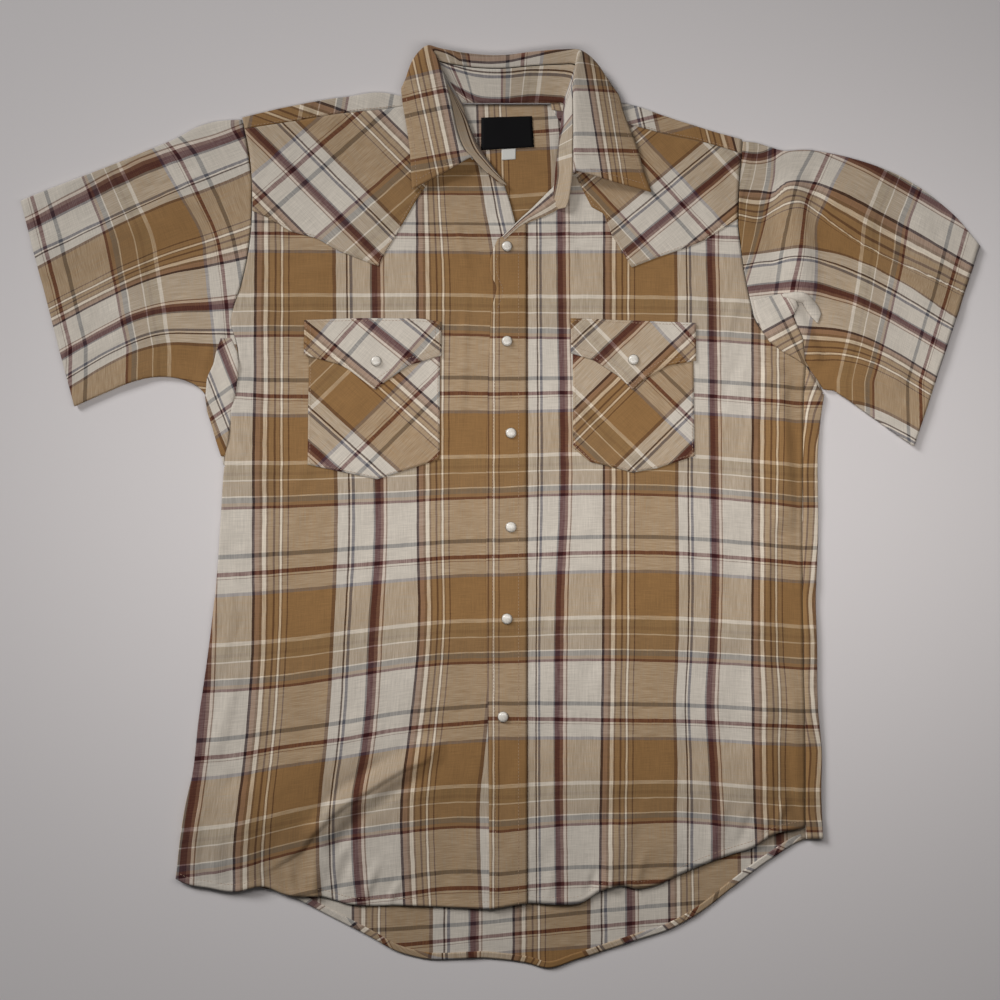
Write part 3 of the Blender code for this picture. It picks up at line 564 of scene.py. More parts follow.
LEFT_FRONT_WEFT = table(
    "x v-106.9 v-93.4 v0.8 v50.8 v145.0 v195.0 v289.2 v339.2 v433.4 v483.4",
    (0, 242.6, 232.8, 139.7, 89.0, -2.6, -54.4, -146.7, -194.9, -291.5, -340.5),
    (52.8, 243.4, 233.6, 139.2, 90.2, -0.2, -52.1, -144.9, -195.9, -286.3, -335.9),
    (105.5, 244.0, 234.0, 138.6, 89.9, 0.3, -50.8, -144.6, -196.8, -284.6, -334.9),
    (158.3, 243.0, 232.6, 138.1, 89.1, -1.2, -51.9, -145.9, -197.4, -283.5, -333.6),
    (211.1, 240.4, 230.0, 135.7, 85.4, -5.0, -55.9, -148.6, -199.7, -287.7, -335.8),
    (263.8, 238.0, 228.0, 130.8, 80.9, -10.8, -60.5, -152.1, -202.2, -291.5, -338.0),
)
fronts_cotton = plaid_cotton("plaid cotton of the fronts")


def turned_under(x, y, z, u, rows):
    """Adds the fold under the right side, and the strip beyond it, to a panel's first rows."""
    strip = np.linspace(SIDE_TURN, FOLD_REACH, 4)[:-1]
    turn = np.linspace(-0.5, 0.5, 7)[:-1] * math.pi
    lead_x = right_edge(y[:, :1]) + np.concatenate([strip, FOLD_REACH - FOLD_RADIUS * np.cos(turn)])
    lead_y = np.repeat(y[:, :1], lead_x.shape[1], axis=1)
    lead_z = HALF + (z[:, :1] - HALF) * np.concatenate([0 * strip, (1 + np.sin(turn)) / 2])
    lead_z[rows:] = np.nan
    run = np.hypot(np.diff(np.column_stack([lead_x, x[:, 0]]), axis=1),
                   np.diff(np.column_stack([lead_z, z[:, 0]]), axis=1))
    lead_u = u[:, :1] - np.cumsum(run[:, ::-1], axis=1)[:, ::-1] / WARP_REPEAT
    pairs = ((lead_x, x), (lead_y, y), (lead_z, z), (lead_u, u))
    return (np.column_stack(pair) for pair in pairs)


outer = steps(RIGHT_EDGE["y"][0], 84, -190.0, 70, RIGHT_ARMPIT, 108, SHOULDER_ENDS[0])
inner = steps(-357.0, 84, -196.0, 70, 60.0, 1, 84.0, 107, 351.0)
below_arm = outer <= RIGHT_ARMPIT
x, y = rule(np.column_stack([right_edge(outer) + FOLD_REACH * below_arm, outer]),
            np.column_stack([right_inner(inner), inner]), 136, front_hem, right_seam)
z = front_middle(x, y)
u, v = laid_plaid(x, y, RIGHT_FRONT_WARP, RIGHT_FRONT_WEFT)
x, y, z, u = turned_under(x, y, z, u, below_arm.sum())
v = np.column_stack([np.repeat(v[:, :1], x.shape[1] - v.shape[1], axis=1), v])
cloth("right_front_cloth", "right_front", x, y, z, u, v, fronts_cotton, "plaid_fronts",
      (0.30, 0.72, 0.190), rests_on=["back"])

outer = steps(LEFT_EDGE["y"][0], 130, LEFT_SEAM_TOP, 66, SHOULDER_ENDS[1])
inner = steps(-352.6, 130, 120.0, 66, 346.0)
edge = np.where(outer <= LEFT_SEAM_TOP, left_edge(outer), left_armhole(outer)) - SEAM
x, y = rule(np.column_stack([left_inner(inner), inner]), np.column_stack([edge, outer]), 84,
            front_hem, left_seam)
z = front_middle(x, y)
u, v = laid_plaid(x, y, LEFT_FRONT_WARP, LEFT_FRONT_WEFT)
cloth("left_front_cloth", "left_front", x, y, z, u, v, fronts_cotton, "plaid_fronts",
      (0.25, 0.70, 0.150), rests_on=["back"])

# ------------------------------
# Back. One panel of the same cotton, face down on the table. It comes round on the left to the
# side seam, and its shirt tail runs on past the fronts with its wrong side up.

LEFT_FOLD = table(
    "y x",
    (-297.9, 279.2), (-257, 278.4), (-223.6, 279.6), (-190, 277.0), (-128, 277.0),
    (-96, 276.6), (-30, 280.0), (9, 280.3), (37, 280.8), (67, 284.0), (88.8, 287.4),
)
BACK_HEM = table(
    "x y",
    (-279.6, -331.6), (-250, -334), (-215, -338), (-183, -346.5), (-143, -365.9),
    (-115, -379.7), (-87, -394.2), (-70, -398.9), (-10, -399.5), (23, -403.5), (41, -407.5),
    (67, -400.2), (117, -384.4), (146, -375.1), (180, -355.8), (201, -339.4), (234, -315.7),
    (264, -299.2), (279, -298.1),
)
YOKE_SEAM = 215.0
# Up to the armpit the side comes round on the level, and above this height it slants up as well.
GUSSET_START = 40.0
GUSSET = 25.0
BACK_WARP = table(
    "y u-72.4 u0.9 u65.6 u138.9 u203.6 u276.9 u341.6",
    (220, -212, -134, -72, 14, 76, 146, 206), (-350, -200, -127, -60.0, 11.6, 75.8, 145.7, 206),
    (-400, -200, -127, -60.0, 11.6, 75.8, 145.7, 206),
)
BACK_WEFT = table(
    "x v-251.1 v37.3 v50.8",
    (-200, -86, -377, -390), (-100, -84, -375, -389), (-10, -81, -369, -381),
    (80, -72, -360, -373), (180, -64, -352, -365), (280, -60, -348, -361),
)
left_fold = smooth(LEFT_FOLD, "y", "x")
back_hem = smooth(BACK_HEM, "x", "y")


def flat_back(x, y):
    """Height of the middle of the back's cloth, which lies on the table."""
    return 0.76 + 0.6 * ripple(x, y, 11)


# Steps of a fold's half turn, from the table up.
TURN = np.linspace(-0.5, 0.5, 8)[1:] * math.pi
SIDE_LINE = 262.0  # the weft lines of the left front are carried round the side from here
right = steps(RIGHT_EDGE["y"][0], 120, RIGHT_ARMPIT, 60, YOKE_SEAM - SEAM)
left = steps(LEFT_FOLD["y"][0], 120, LEFT_ARMPIT, 60, YOKE_SEAM - SEAM)
comes_round = left <= LEFT_ARMPIT
starts = right_edge(right) + np.where(right <= RIGHT_ARMPIT, SIDE_TURN + SEAM, 0)
ends = np.where(comes_round, left_fold(left) - FOLD_REACH, left_armhole(left))
x, y = rule(np.column_stack([starts, right]), np.column_stack([ends, left]), 150, back_hem)
z = flat_back(x, y)
seam_y = left + GUSSET * np.clip((left - GUSSET_START) / (LEFT_ARMPIT - GUSSET_START), 0, 1)
seam_x = left_edge(seam_y) + 0.1
top_z = front_middle(seam_x, seam_y)
add_x = [left_fold(left) - FOLD_REACH + FOLD_RADIUS * np.cos(a) for a in TURN]
add_y = [y[:, -1] for a in TURN]
add_z = [HALF + (top_z - HALF) * (1 + np.sin(a)) / 2 for a in TURN]
for part in (0.3, 0.65, 1.0):
    add_x.append(mix(add_x[len(TURN) - 1], seam_x, part))
    add_y.append(mix(y[:, -1], seam_y + (y[:, -1] - left), part))
    add_z.append(top_z)
add_x, add_y, add_z = (np.stack(a, 1) for a in (add_x, add_y, add_z))
add_z[~comes_round] = np.nan
u, v = laid_plaid(x, y, BACK_WARP, BACK_WEFT)
run = np.hypot(np.diff(np.column_stack([x[:, -1], add_x]), axis=1),
               np.diff(np.column_stack([z[:, -1], add_z]), axis=1))
add_u = u[:, -1:] + np.cumsum(run, axis=1) / WARP_REPEAT
add_v = counted(add_y, LEFT_FRONT_WEFT, "x", np.full_like(add_x, SIDE_LINE), WEFT_REPEAT, -1)
pairs = ((x, add_x), (y, add_y), (z, add_z), (u, add_u), (v, add_v))
body_cotton = plaid_cotton("plaid cotton of the back")
cloth("back_cloth", "back", *(np.column_stack(pair) for pair in pairs), body_cotton, "plaid_body",
      (0.58, 0.64, 0.31))

# The tail's hem is turned up on the inside, which is the side that shows. It rises from its fold
# to its stitched edge and puckers a little along it.
TAIL_HEM = 5.5
along = np.linspace(-214.0, 262.0, 240)[:, None]
deep = np.linspace(0.0, TAIL_HEM, 5)
slope = np.gradient(back_hem(along[:, 0]), along[:, 0])[:, None]
lean = np.hypot(1, slope)
x = along - slope / lean * deep
y = back_hem(along) + deep / lean
z = flat_back(x, y) + np.linspace(0.55, 0.75, 5) + 0.12 * np.sin(along / 5.3)
u, v = laid_plaid(x, y, BACK_WARP, BACK_WEFT)
u_edge, v_edge = laid_plaid(along, back_hem(along), BACK_WARP, BACK_WEFT)
cloth("tail_hem", "back", x, y, z, 2 * u_edge - u + 0.01, 2 * v_edge - v, body_cotton, "plaid_body",
      (0.53, 0.011, 0.0029))

# ------------------------------
# Back yoke. The same cotton, cut across: it runs from its seam on the back up to the neck and
# comes over both shoulders to the shoulder seams in front.

NECK_SEAM = 352.6
NECK_SIDES = (-40.0, 45.0)
ARM_TOPS = (338.0, 318.0)
YOKE_WARP = table(
    "y u22.6 u66.0 u81.5", (352, -0.3, 40.9, 55.8), (310, 1.5, 43.3, 58), (210, 3, 46, 61),
)
YOKE_WEFT = table(
    "x v37.3 v51.0 v67.6 v107.8 v122.2",
    (-20, 337, 324.5, 308, 266, 253), (27, 339.5, 327.3, 311.7, 269.5, 256.7),
    (60, 341.5, 330, 313.5, 272, 259),
)


def slant(*rows):
    """Known lines of a pattern that lies at a slant: each line's own place and two that it passes."""
    return table("count x0 y0 x1 y1", *rows)


# The stripes of the strips in front of the shoulder folds.
RIGHT_STRIP_WARP = slant(
    (0.9, -164.8, 353.8, -137.7, 344.6), (9.4, -180.0, 351.1, -152.9, 340.0),
    (22.6, -211.5, 344.6, -181.6, 334.5),
)
RIGHT_STRIP_WEFT = slant(
    (181.5, -98.2, 359.4, -100.8, 346.5), (145, -136.9, 357.5, -138.6, 345.5),
    (136, -146.8, 355.7, -149.3, 340.9), (122.2, -162.9, 352.0, -165.5, 339.1),
    (107.8, -180.0, 350.1, -181.7, 335.4),
)
LEFT_STRIP_WARP = slant(
    (81.5, 124.2, 348.3, 125.5, 332.5), (77.7, 127.8, 346.5, 131.3, 328.5),
    (66, 137.5, 344.6, 141.1, 327.1), (28.4, 180.7, 328.9, 185.0, 314.2),
    (9.4, 199.5, 322.5, 203.8, 308.7), (0.9, 207.5, 320.7, 212.8, 307.8),
)
LEFT_STRIP_WEFT = slant(
    (51, 113.2, 333.6, 136.6, 340.8), (67.6, 151.0, 327.0, 175.3, 331.7),
)


def slanted(x, y, lines, repeat):
    """Count of repeats of a pattern that lies at a slant, from lines of it that are known."""
    counts = np.concatenate([lines["count"], lines["count"]])
    places = np.column_stack([np.concatenate([lines["x0"], lines["x1"]]),
                              np.concatenate([lines["y0"], lines["y1"]]), np.ones(len(counts))])
    a, b, c = np.linalg.lstsq(places, counts, rcond=None)[0]
    return (a * x + b * y + c) / repeat


def slanted_plaid(x, y, warp, weft):
    """The map of a piece on which the pattern lies at a slant."""
    return slanted(x, y, warp, WARP_REPEAT), slanted(x, y, weft, WEFT_REPEAT)


right_lines = (smooth(RIGHT_SHOULDER, "x", "fold"), right_seam)
left_lines = (smooth(LEFT_SHOULDER, "x", "fold"), left_seam)
foot_y = YOKE_SEAM + SEAM
rows = np.linspace(0, 1, 41)
to_seam = np.array((0.3, 0.6, 0.85, 1.0))
lines = []
for part in np.linspace(0, 1, 161):
    foot_x = mix(right_edge(foot_y), left_armhole(foot_y), part)
    seam_x = mix(right_edge(SHOULDER_ENDS[0]), left_armhole(SHOULDER_ENDS[1]), part)
    fold_x = mix(right_edge(ARM_TOPS[0]) + SEAM, left_armhole(ARM_TOPS[1]) - SEAM, part)
    at_neck = NECK_SIDES[0] < fold_x < NECK_SIDES[1]
    shoulder_fold, shoulder_seam = right_lines if fold_x < 0 else left_lines
    fold_y = NECK_SEAM if at_neck else shoulder_fold(fold_x) - FOLD_REACH
    x, y = mix(foot_x, fold_x, rows), mix(foot_y, fold_y, rows)
    tail = np.full((3, len(TURN) + len(to_seam)), np.nan)
    if not at_neck:
        seam_y = shoulder_seam(seam_x) + SEAM
        top = front_middle(seam_x, seam_y)
        tail[0] = np.concatenate([np.full(len(TURN), fold_x), mix(fold_x, seam_x, to_seam)])
        tail[1] = np.concatenate([fold_y + FOLD_RADIUS * np.cos(TURN), mix(fold_y, seam_y, to_seam)])
        tail[2] = np.concatenate([HALF + (top - HALF) * (1 + np.sin(TURN)) / 2, np.full(len(to_seam), top)])
    lines.append(np.column_stack([(x, y, flat_back(x, y)), tail]))
x, y, z = np.transpose(lines, (1, 2, 0))
u, v = laid_plaid(x, y, YOKE_WARP, YOKE_WEFT)
for over, *strips in ((x < 0, RIGHT_STRIP_WARP, RIGHT_STRIP_WEFT),
                      (x > 0, LEFT_STRIP_WARP, LEFT_STRIP_WEFT)):
    over[:len(rows)] = False
    strip_u, strip_v = slanted_plaid(x, y, *strips)
    u[over], v[over] = strip_u[over], strip_v[over]
yoke_cotton = plaid_cotton("plaid cotton of the yokes")
cloth("back_yoke_cloth", "back_yoke", *(part[:, ::-1] for part in (x, y, z, u, v)), yoke_cotton,
      "plaid_yokes", (0.46, 0.17, 0.066))

# ------------------------------
# Front yokes. Pointed yokes of the same cotton, cut on the slant. Their lower edges are turned
# under and stitched down to the fronts.

RIGHT_YOKE = table(
    "x y",
    (-221, 253.7), (-207, 247.5), (-188, 235.7), (-164, 228.8), (-143, 217), (-108.7, 203.7),
    (-104, 214), (-93.5, 231), (-75, 263.3), (-66.6, 276.1), (-47.6, 307.6),
)
LEFT_YOKE = table(
    "x y",
    (60, 302), (72, 277.4), (82, 257.3), (93, 251.4), (99.7, 231.8), (109.6, 216.4),
    (117.2, 202.4), (140, 211.5), (168, 221.1), (182, 227), (213, 246.8),
)
YOKE_INSET = 0.4
RIGHT_YOKE_WARP = slant(
    (104, -221.8, 324.9, -106.1, 211.7), (81.7, -194.4, 331.7, -95.5, 227.6),
    (65.6, -178.7, 332.6, -90.6, 241.7), (22.3, -132.1, 342.3, -81.5, 292.8),
)
RIGHT_YOKE_WEFT = slant(
    (50.8, -130.3, 340.5, -220.8, 259.0), (37.3, -118.6, 330.4, -199.3, 253.5),
    (0.8, -81.6, 301.0, -166.0, 229.9),
)
LEFT_YOKE_WARP = slant(
    (103.5, 112.3, 215.4, 213.4, 302.8), (77.7, 99.1, 235.3, 190.2, 311.1),
    (66, 96.5, 247.1, 178.5, 312.9),
)
LEFT_YOKE_WEFT = slant(
    (50.8, 134.4, 290.9, 187.5, 234.4), (37.3, 134.2, 272.7, 178.4, 226.2),
    (0.6, 107.2, 249.9, 140.8, 212.6), (67.6, 159.4, 284.5, 194.7, 243.5),
    (107.8, 192.8, 309.3, 216.6, 276.3),
)


def patch(lower, upper, columns, rows, left=None, right=None):
    """Grids of x and y of a piece with one point, from its lower outline up to its top."""
    bottom = cornered(lower, "x", "y")
    tip = lower["x"][np.argmin(lower["y"])]
    up = np.linspace(0, 1, rows + 1)
    first = left(up) if left else np.full(rows + 1, lower["x"][0])
    last = right(up) if right else np.full(rows + 1, lower["x"][-1])
    part = np.linspace(0, 1, columns + 1)
    x = np.column_stack([mix(first[:, None], tip, part[:-1]), mix(tip, last[:, None], part)])
    return x, mix(bottom(x), upper(x), up[:, None])


YOKE_LIFT = 0.8
DOUBLE = 0.7  # wall of a piece that is turned under at its edges
for name, cut, outline, upper, sides, *pattern in (
    ("right_front_yoke", (0.18, 0.15, 0.019), RIGHT_YOKE, lambda x: right_seam(x) - SEAM,
     dict(left=lambda up: right_edge(mix(RIGHT_YOKE["y"][0], 328.0, up)) + YOKE_INSET),
     RIGHT_YOKE_WARP, RIGHT_YOKE_WEFT),
    ("left_front_yoke", (0.16, 0.13, 0.015), LEFT_YOKE, lambda x: left_seam(x) - SEAM,
     dict(right=lambda up: left_armhole(mix(LEFT_YOKE["y"][-1], 306.0, up)) - YOKE_INSET),
     LEFT_YOKE_WARP, LEFT_YOKE_WEFT),
):
    x, y = patch(outline, upper, 34, 48, **sides)
    z = front_middle(x, y) + YOKE_LIFT
    cloth(name + "_cloth", name, x, y, z, *slanted_plaid(x, y, *pattern), yoke_cotton, "plaid_yokes",
          cut, thick=DOUBLE)

# ------------------------------
# Pockets and flaps. Pointed patch pockets cut on the slant, topstitched round, each under a
# pointed flap that closes with one snap.

RIGHT_POCKET = table("x y", (-169.5, 26), (-108.1, 13), (-53.2, 30.7))
LEFT_POCKET = table(
    "x y", (64.5, 41), (79, 28.5), (98.7, 23.9), (116.9, 18.8), (138, 22.6), (171.5, 33.6),
)
RIGHT_FLAP = table(
    "x y",
    (-173.8, 123.5), (-144.3, 115.7), (-134.5, 110.9), (-110.5, 92.4), (-104.4, 97.5),
    (-80.6, 114.4), (-51.8, 122.8),
)
LEFT_FLAP = table(
    "x y",
    (62.8, 124.9), (82.6, 118.9), (104.4, 104.6), (117.6, 91.9), (130.2, 103.3), (142.1, 110.2),
    (149.6, 114.1), (173.8, 118.4),
)
RIGHT_FLAP_TOP = table("x y", (-174.6, 154.8), (-128.7, 156.6), (-69.2, 155.9), (-51.9, 153))
LEFT_FLAP_TOP = table("x y", (62.4, 156.4), (174.2, 152.1))
RIGHT_POCKET_WARP = slant(
    (65.6, -169.7, 89.4, -91.0, 18.5), (81.7, -169.6, 75.2, -102.9, 15.0),
    (104, -168.5, 43.2, -142.1, 20.3), (0.9, -88.8, 108.6, -53.9, 77.3),
    (9.2, -95.7, 103.3, -53.8, 64.5),
)
RIGHT_POCKET_WEFT = slant(
    (108, -132.2, 108.6, -168.3, 76.1), (50.8, -55.0, 106.4, -139.0, 21.5),
)
LEFT_POCKET_WARP = slant(
    (0.9, 98.2, 108.6, 64.5, 75.2), (65.6, 169.7, 87.0, 103.0, 22.9),
    (81.7, 170.4, 74.3, 116.8, 19.4), (104, 171.4, 45.0, 153.2, 26.8),
)
LEFT_POCKET_WEFT = slant(
    (50.8, 131.4, 103.3, 170.3, 65.4), (108, 63.7, 94.8, 137.0, 22.9),
)
RIGHT_FLAP_WARP = slant(
    (104, -121.7, 156.2, -72.1, 115.9), (138.9, -172.1, 153.9, -104.2, 97.6),
    (81.7, -87.3, 155.3, -51.8, 126.7),
)
RIGHT_FLAP_WEFT = slant(
    (0.8, -59.4, 150.8, -104.2, 99.9), (37.3, -110, 151, -142, 114),
)
LEFT_FLAP_WARP = slant(
    (104, 127.3, 155.3, 84.0, 118.1), (138.9, 170.1, 151.7, 113.0, 96.3),
    (81.7, 91.8, 156.2, 63.3, 126.7),
)
LEFT_FLAP_WEFT = slant(
    (108, 87.7, 146.4, 124.6, 106.1), (71, 114, 171, 151, 131),
)
POCKET_LIFT = 0.8
FLAP_LIFT = 1.7
pocket_cotton = plaid_cotton("plaid cotton of the pockets")
for name, cut, outline, upper, rows, lift, *pattern in (
    ("right_pocket", (0.118, 0.142, 0.0155), RIGHT_POCKET, lambda x: np.full_like(x, 153.0),
     54, POCKET_LIFT, RIGHT_POCKET_WARP, RIGHT_POCKET_WEFT),
    ("left_pocket", (0.108, 0.133, 0.0135), LEFT_POCKET, lambda x: np.full_like(x, 151.0),
     54, POCKET_LIFT, LEFT_POCKET_WARP, LEFT_POCKET_WEFT),
    ("right_flap", (0.124, 0.065, 0.0055), RIGHT_FLAP, cornered(RIGHT_FLAP_TOP, "x", "y"),
     24, FLAP_LIFT, RIGHT_FLAP_WARP, RIGHT_FLAP_WEFT),
    ("left_flap", (0.112, 0.065, 0.0049), LEFT_FLAP, cornered(LEFT_FLAP_TOP, "x", "y"),
     24, FLAP_LIFT, LEFT_FLAP_WARP, LEFT_FLAP_WEFT),
):
    x, y = patch(outline, upper, 24, rows)
    z = front_middle(x, y) + lift
    cloth(name + "_cloth", name, x, y, z, *slanted_plaid(x, y, *pattern), pocket_cotton,
          "plaid_pockets", cut, thick=DOUBLE)

# ------------------------------
# Placket. A folded strip of the same cotton on the left front's edge, cut along the stripes and
# interlined. It carries the snaps and laps over the right front.

PLACKET_EDGE = table(
    "y x",
    (-357.4, -9.1), (139.7, -8.9), (153, -8.3), (167, -6.9), (175.7, -4.2), (182, -3.1),
    (191, -6.2), (200, -8.9), (211, -8.3), (220.4, -4.2), (230.9, 2.7),
)
PLACKET_TOP = table("x y", (-9.1, 224), (2.7, 230.9), (12, 238.5), (23.2, 247))
PLACKET_WARP = table(
    "y u19.1 u22.3 u28.5 u53.0",
    (250, -8.7, -5.9, -0.9, 23.2), (139, -8.7, -5.9, -0.9, 23.2), (-360, -9.1, -6.2, -1.3, 22.5),
)
PLACKET_LIFT = 0.95
PLACKET_WALL = 1.0
placket_edge = smooth(PLACKET_EDGE, "y", "x")
up = np.linspace(0, 1, 221)[:, None]
line = mix(PLACKET_EDGE["y"][0], PLACKET_TOP["y"][0], up)
x = mix(placket_edge(line), PLACKET_TOP["x"][-1], np.linspace(0, 1, 17))
y = line + (smooth(PLACKET_TOP, "x", "y")(x) - PLACKET_TOP["y"][0]) * up**8
y = y + (front_hem(x) - PLACKET_EDGE["y"][0]) * (1 - up) ** 3
z = front_middle(x, y) + PLACKET_LIFT
placket_cotton = plaid_cotton("plaid cotton of the placket")
cloth("placket_cloth", "placket", x, y, z, *laid_plaid(x, y, PLACKET_WARP, LEFT_FRONT_WEFT),
      placket_cotton, "plaid_placket", (0.034, 0.61, 0.0199), thick=PLACKET_WALL)


def lengths(points):
    """Distance run along a line of points, at each of them."""
    return np.concatenate([[0], np.cumsum(np.linalg.norm(np.diff(points, axis=0), axis=1))])


def walked(points, spots):
    """Places on a line of points, by the distances run along it: one array for each axis."""
    run = lengths(points)
    return [np.interp(spots, run, places) for places in np.transpose(points)]


def between(first, second, rows, columns):
    """Grids of x and y between two lines of points."""
    across = np.linspace(0, 1, columns + 1)
    ends = [walked(points, np.linspace(0, lengths(points)[-1], rows + 1)) for points in (first, second)]
    return tuple(mix(start[:, None], end[:, None], across) for start, end in zip(*ends))


# The left front's neck edge, folded over on itself from the placket up to the stand.
NECK_BAND = (
    ((2.2, 230.2), (11.6, 239.7), (19.6, 247.9), (26.8, 254.3), (35.8, 263.4), (42.9, 270.7),
     (50.1, 278.0)),
    ((4.5, 227.0), (11.6, 233.4), (17.8, 238.8), (26.8, 243.8), (37.5, 247.9), (47.3, 252.4),
     (56.3, 257.9)),
)
NECK_LIFT = 0.8
x, y = between(*NECK_BAND, 60, 14)
part = np.linspace(0, 1, 15)
roll = np.sin(part * math.pi) ** 0.6 + 0.35 * np.sin(part * math.tau * 2)
z = front_middle(x, y) + NECK_LIFT + roll
u = (-3.0 + 17.0 * part + 0 * x) / WARP_REPEAT
v = (3.0 + 0.38 * np.hypot(x - NECK_BAND[0][0][0], y - NECK_BAND[0][0][1])) / WEFT_REPEAT
cloth("left_neck_edge", "left_front", x, y, z, u, v, fronts_cotton, "plaid_fronts",
      (0.016, 0.075, 0.0008), thick=0.6)

# ------------------------------
# Sleeves. Short sleeves of the same cotton, each set into its armhole and joined under the arm.
# Each lies flat, with a round edge along its top and along its underside.

ARM_ROWS = table(
    "right left",
    (24, 88.8), (57, 115.7), (83, 126.5), (106, 137), (121, 147), (136, 157), (151, 171),
    (169, 185), (187, 200), (210, 215), (241, 241), (282, 275), (329, 306),
)
ARMPITS = ((-243.6, 26.6), (286.4, 94.4))
RIGHT_SLEEVE = table(
    "top_x top_y low_x low_y bulge",
    (-246.5, 336.2, -249, 46, 0.9), (-260, 334.3, -255, 68, 0.75), (-274, 329.3, -260, 87, 0.6),
    (-289, 321, -270, 98, 0.45), (-300, 316, -288, 104.5, 0.35), (-325, 305, -309, 105, 0.2),
    (-350, 294.6, -329, 100, 0.1), (-378, 283.4, -347, 92.5, 0.0), (-405, 272.8, -363, 85.5, 0.0),
    (-429.2, 262.5, -377, 79, 0.0),
)
LEFT_SLEEVE = table(
    "top_x top_y low_x low_y bulge",
    (230, 315.6, 291, 93.5, 1.0), (243, 311.6, 296, 93, 0.85), (256.3, 308, 302, 89, 0.7),
    (275.6, 309, 309, 84.5, 0.55), (299, 305.6, 317, 78.5, 0.42), (327, 298, 326, 72, 0.3),
    (355, 287, 336, 65, 0.2), (382, 270.5, 346, 57.5, 0.1), (407, 248.5, 356, 50.5, 0.0),
    (428.7, 221.5, 366, 43.5, 0.0),
)
RIGHT_SLEEVE_FOLDS = folds_of(
    (-262, 100, -246, 150, 22, 1.6), (-262, 128, -330, 160, 40, 1.8),
    (-300, 250, -400, 215, 60, 1.4),
)
LEFT_SLEEVE_FOLDS = folds_of(
    (262, 268, 266, 182, 46, 4.0), (238, 158, 262, 118, 26, 3.4), (258, 168, 278, 122, 24, 3.2),
    (300, 150, 350, 110, 44, 2.4), (300, 260, 380, 190, 60, 1.8),
)
RIGHT_SLEEVE_CREASES = folds_of(
    (-240, 300, -300, 270, 20, 0.8), (-236, 200, -290, 215, 20, 0.7),
    (-238, 160, -300, 140, 24, -0.8), (-330, 150, -380, 120, 30, 0.8),
)
LEFT_SLEEVE_CREASES = folds_of(
    (222, 200, 240, 150, 16, 0.8), (280, 300, 276, 240, 26, -0.8), (330, 220, 380, 180, 30, 0.8),
)
# Stripes along each sleeve by place, then stripes across it by height.
RIGHT_SLEEVE_WARP = table(
    "x u-72.4 u-56.3 u-34.0 u0.9 u22.3 u65.6 u81.7 u104.0",
    (-430, 64, 78, 99, 132, 150, 192, 208, 236),
    (-296.4, 132.6, 145.3, 164.8, 196.6, 214.2, 260.5, 271.5, 302.7),
    (-261, 131.8, 146, 166.8, 203.5, 226, 273.5, 287, 314),
    (-220, 131, 146, 171, 212.5, 240, 291, 304, 330),
)
RIGHT_SLEEVE_WEFT = table(
    "y v206.0 v67.6 v50.8 v37.3 v0.8",
    (330, -448, -330, -312, -296, -240), (310, -442.7, -311, -293, -275.7, -228),
    (286, -435.9, -296, -278.7, -262.6, -214), (265, -429.9, -283.7, -268.5, -252, -212),
    (228, -419.4, -264.8, -252.4, -237.7, -202), (207, -413.4, -262.3, -248, -233, -200),
    (186, -407.5, -259.6, -245.3, -229.4, -196), (130, -391.5, -252.4, -240, -226, -190),
)
LEFT_SLEEVE_WARP = table(
    "x u104.0 u81.7 u67.9 u22.3 u9.2 u0.9 u-34.0",
    (213, 181.4, 201, 213, 251, 264.7, 273, 305), (236, 184.5, 205, 215.6, 249, 262.6, 271.5, 304),
    (244, 185.3, 205.5, 216.6, 254.3, 265, 270.2, 307), (256, 186, 208.6, 218, 260, 275, 278.5, 314),
    (270, 185.3, 208.9, 219, 261.5, 274, 280.8, 316), (284, 184.3, 207.5, 218, 253, 270, 279.5, 316),
    (297, 181, 203, 216, 242, 262, 274, 311), (430, 110, 130, 142, 172, 190, 200, 236),
)
LEFT_SLEEVE_WEFT = table(
    "y v-9.0 v0.8 v37.3 v50.8 v67.6 v212.0",
    (310, 240, 246.5, 280.6, 296, 316, 459.9), (283, 237, 245, 266, 284, 300, 450.4),
    (263, 232, 240.6, 260.5, 274, 291, 443.3), (245, 229, 237, 256, 271, 283, 437),
    (214, 222, 228, 250, 266.5, 282, 426.1), (190, 214, 220, 246.6, 261, 281, 417.6),
    (100, 200, 206, 232, 246, 266, 385.9),
)

SLEEVE_EDGE = 0.9  # how far the round edges of a sleeve stand out
SLEEVE_POINTS = 71
SLEEVE_RINGS = 67
sleeve_cotton = plaid_cotton("plaid cotton of the sleeves")


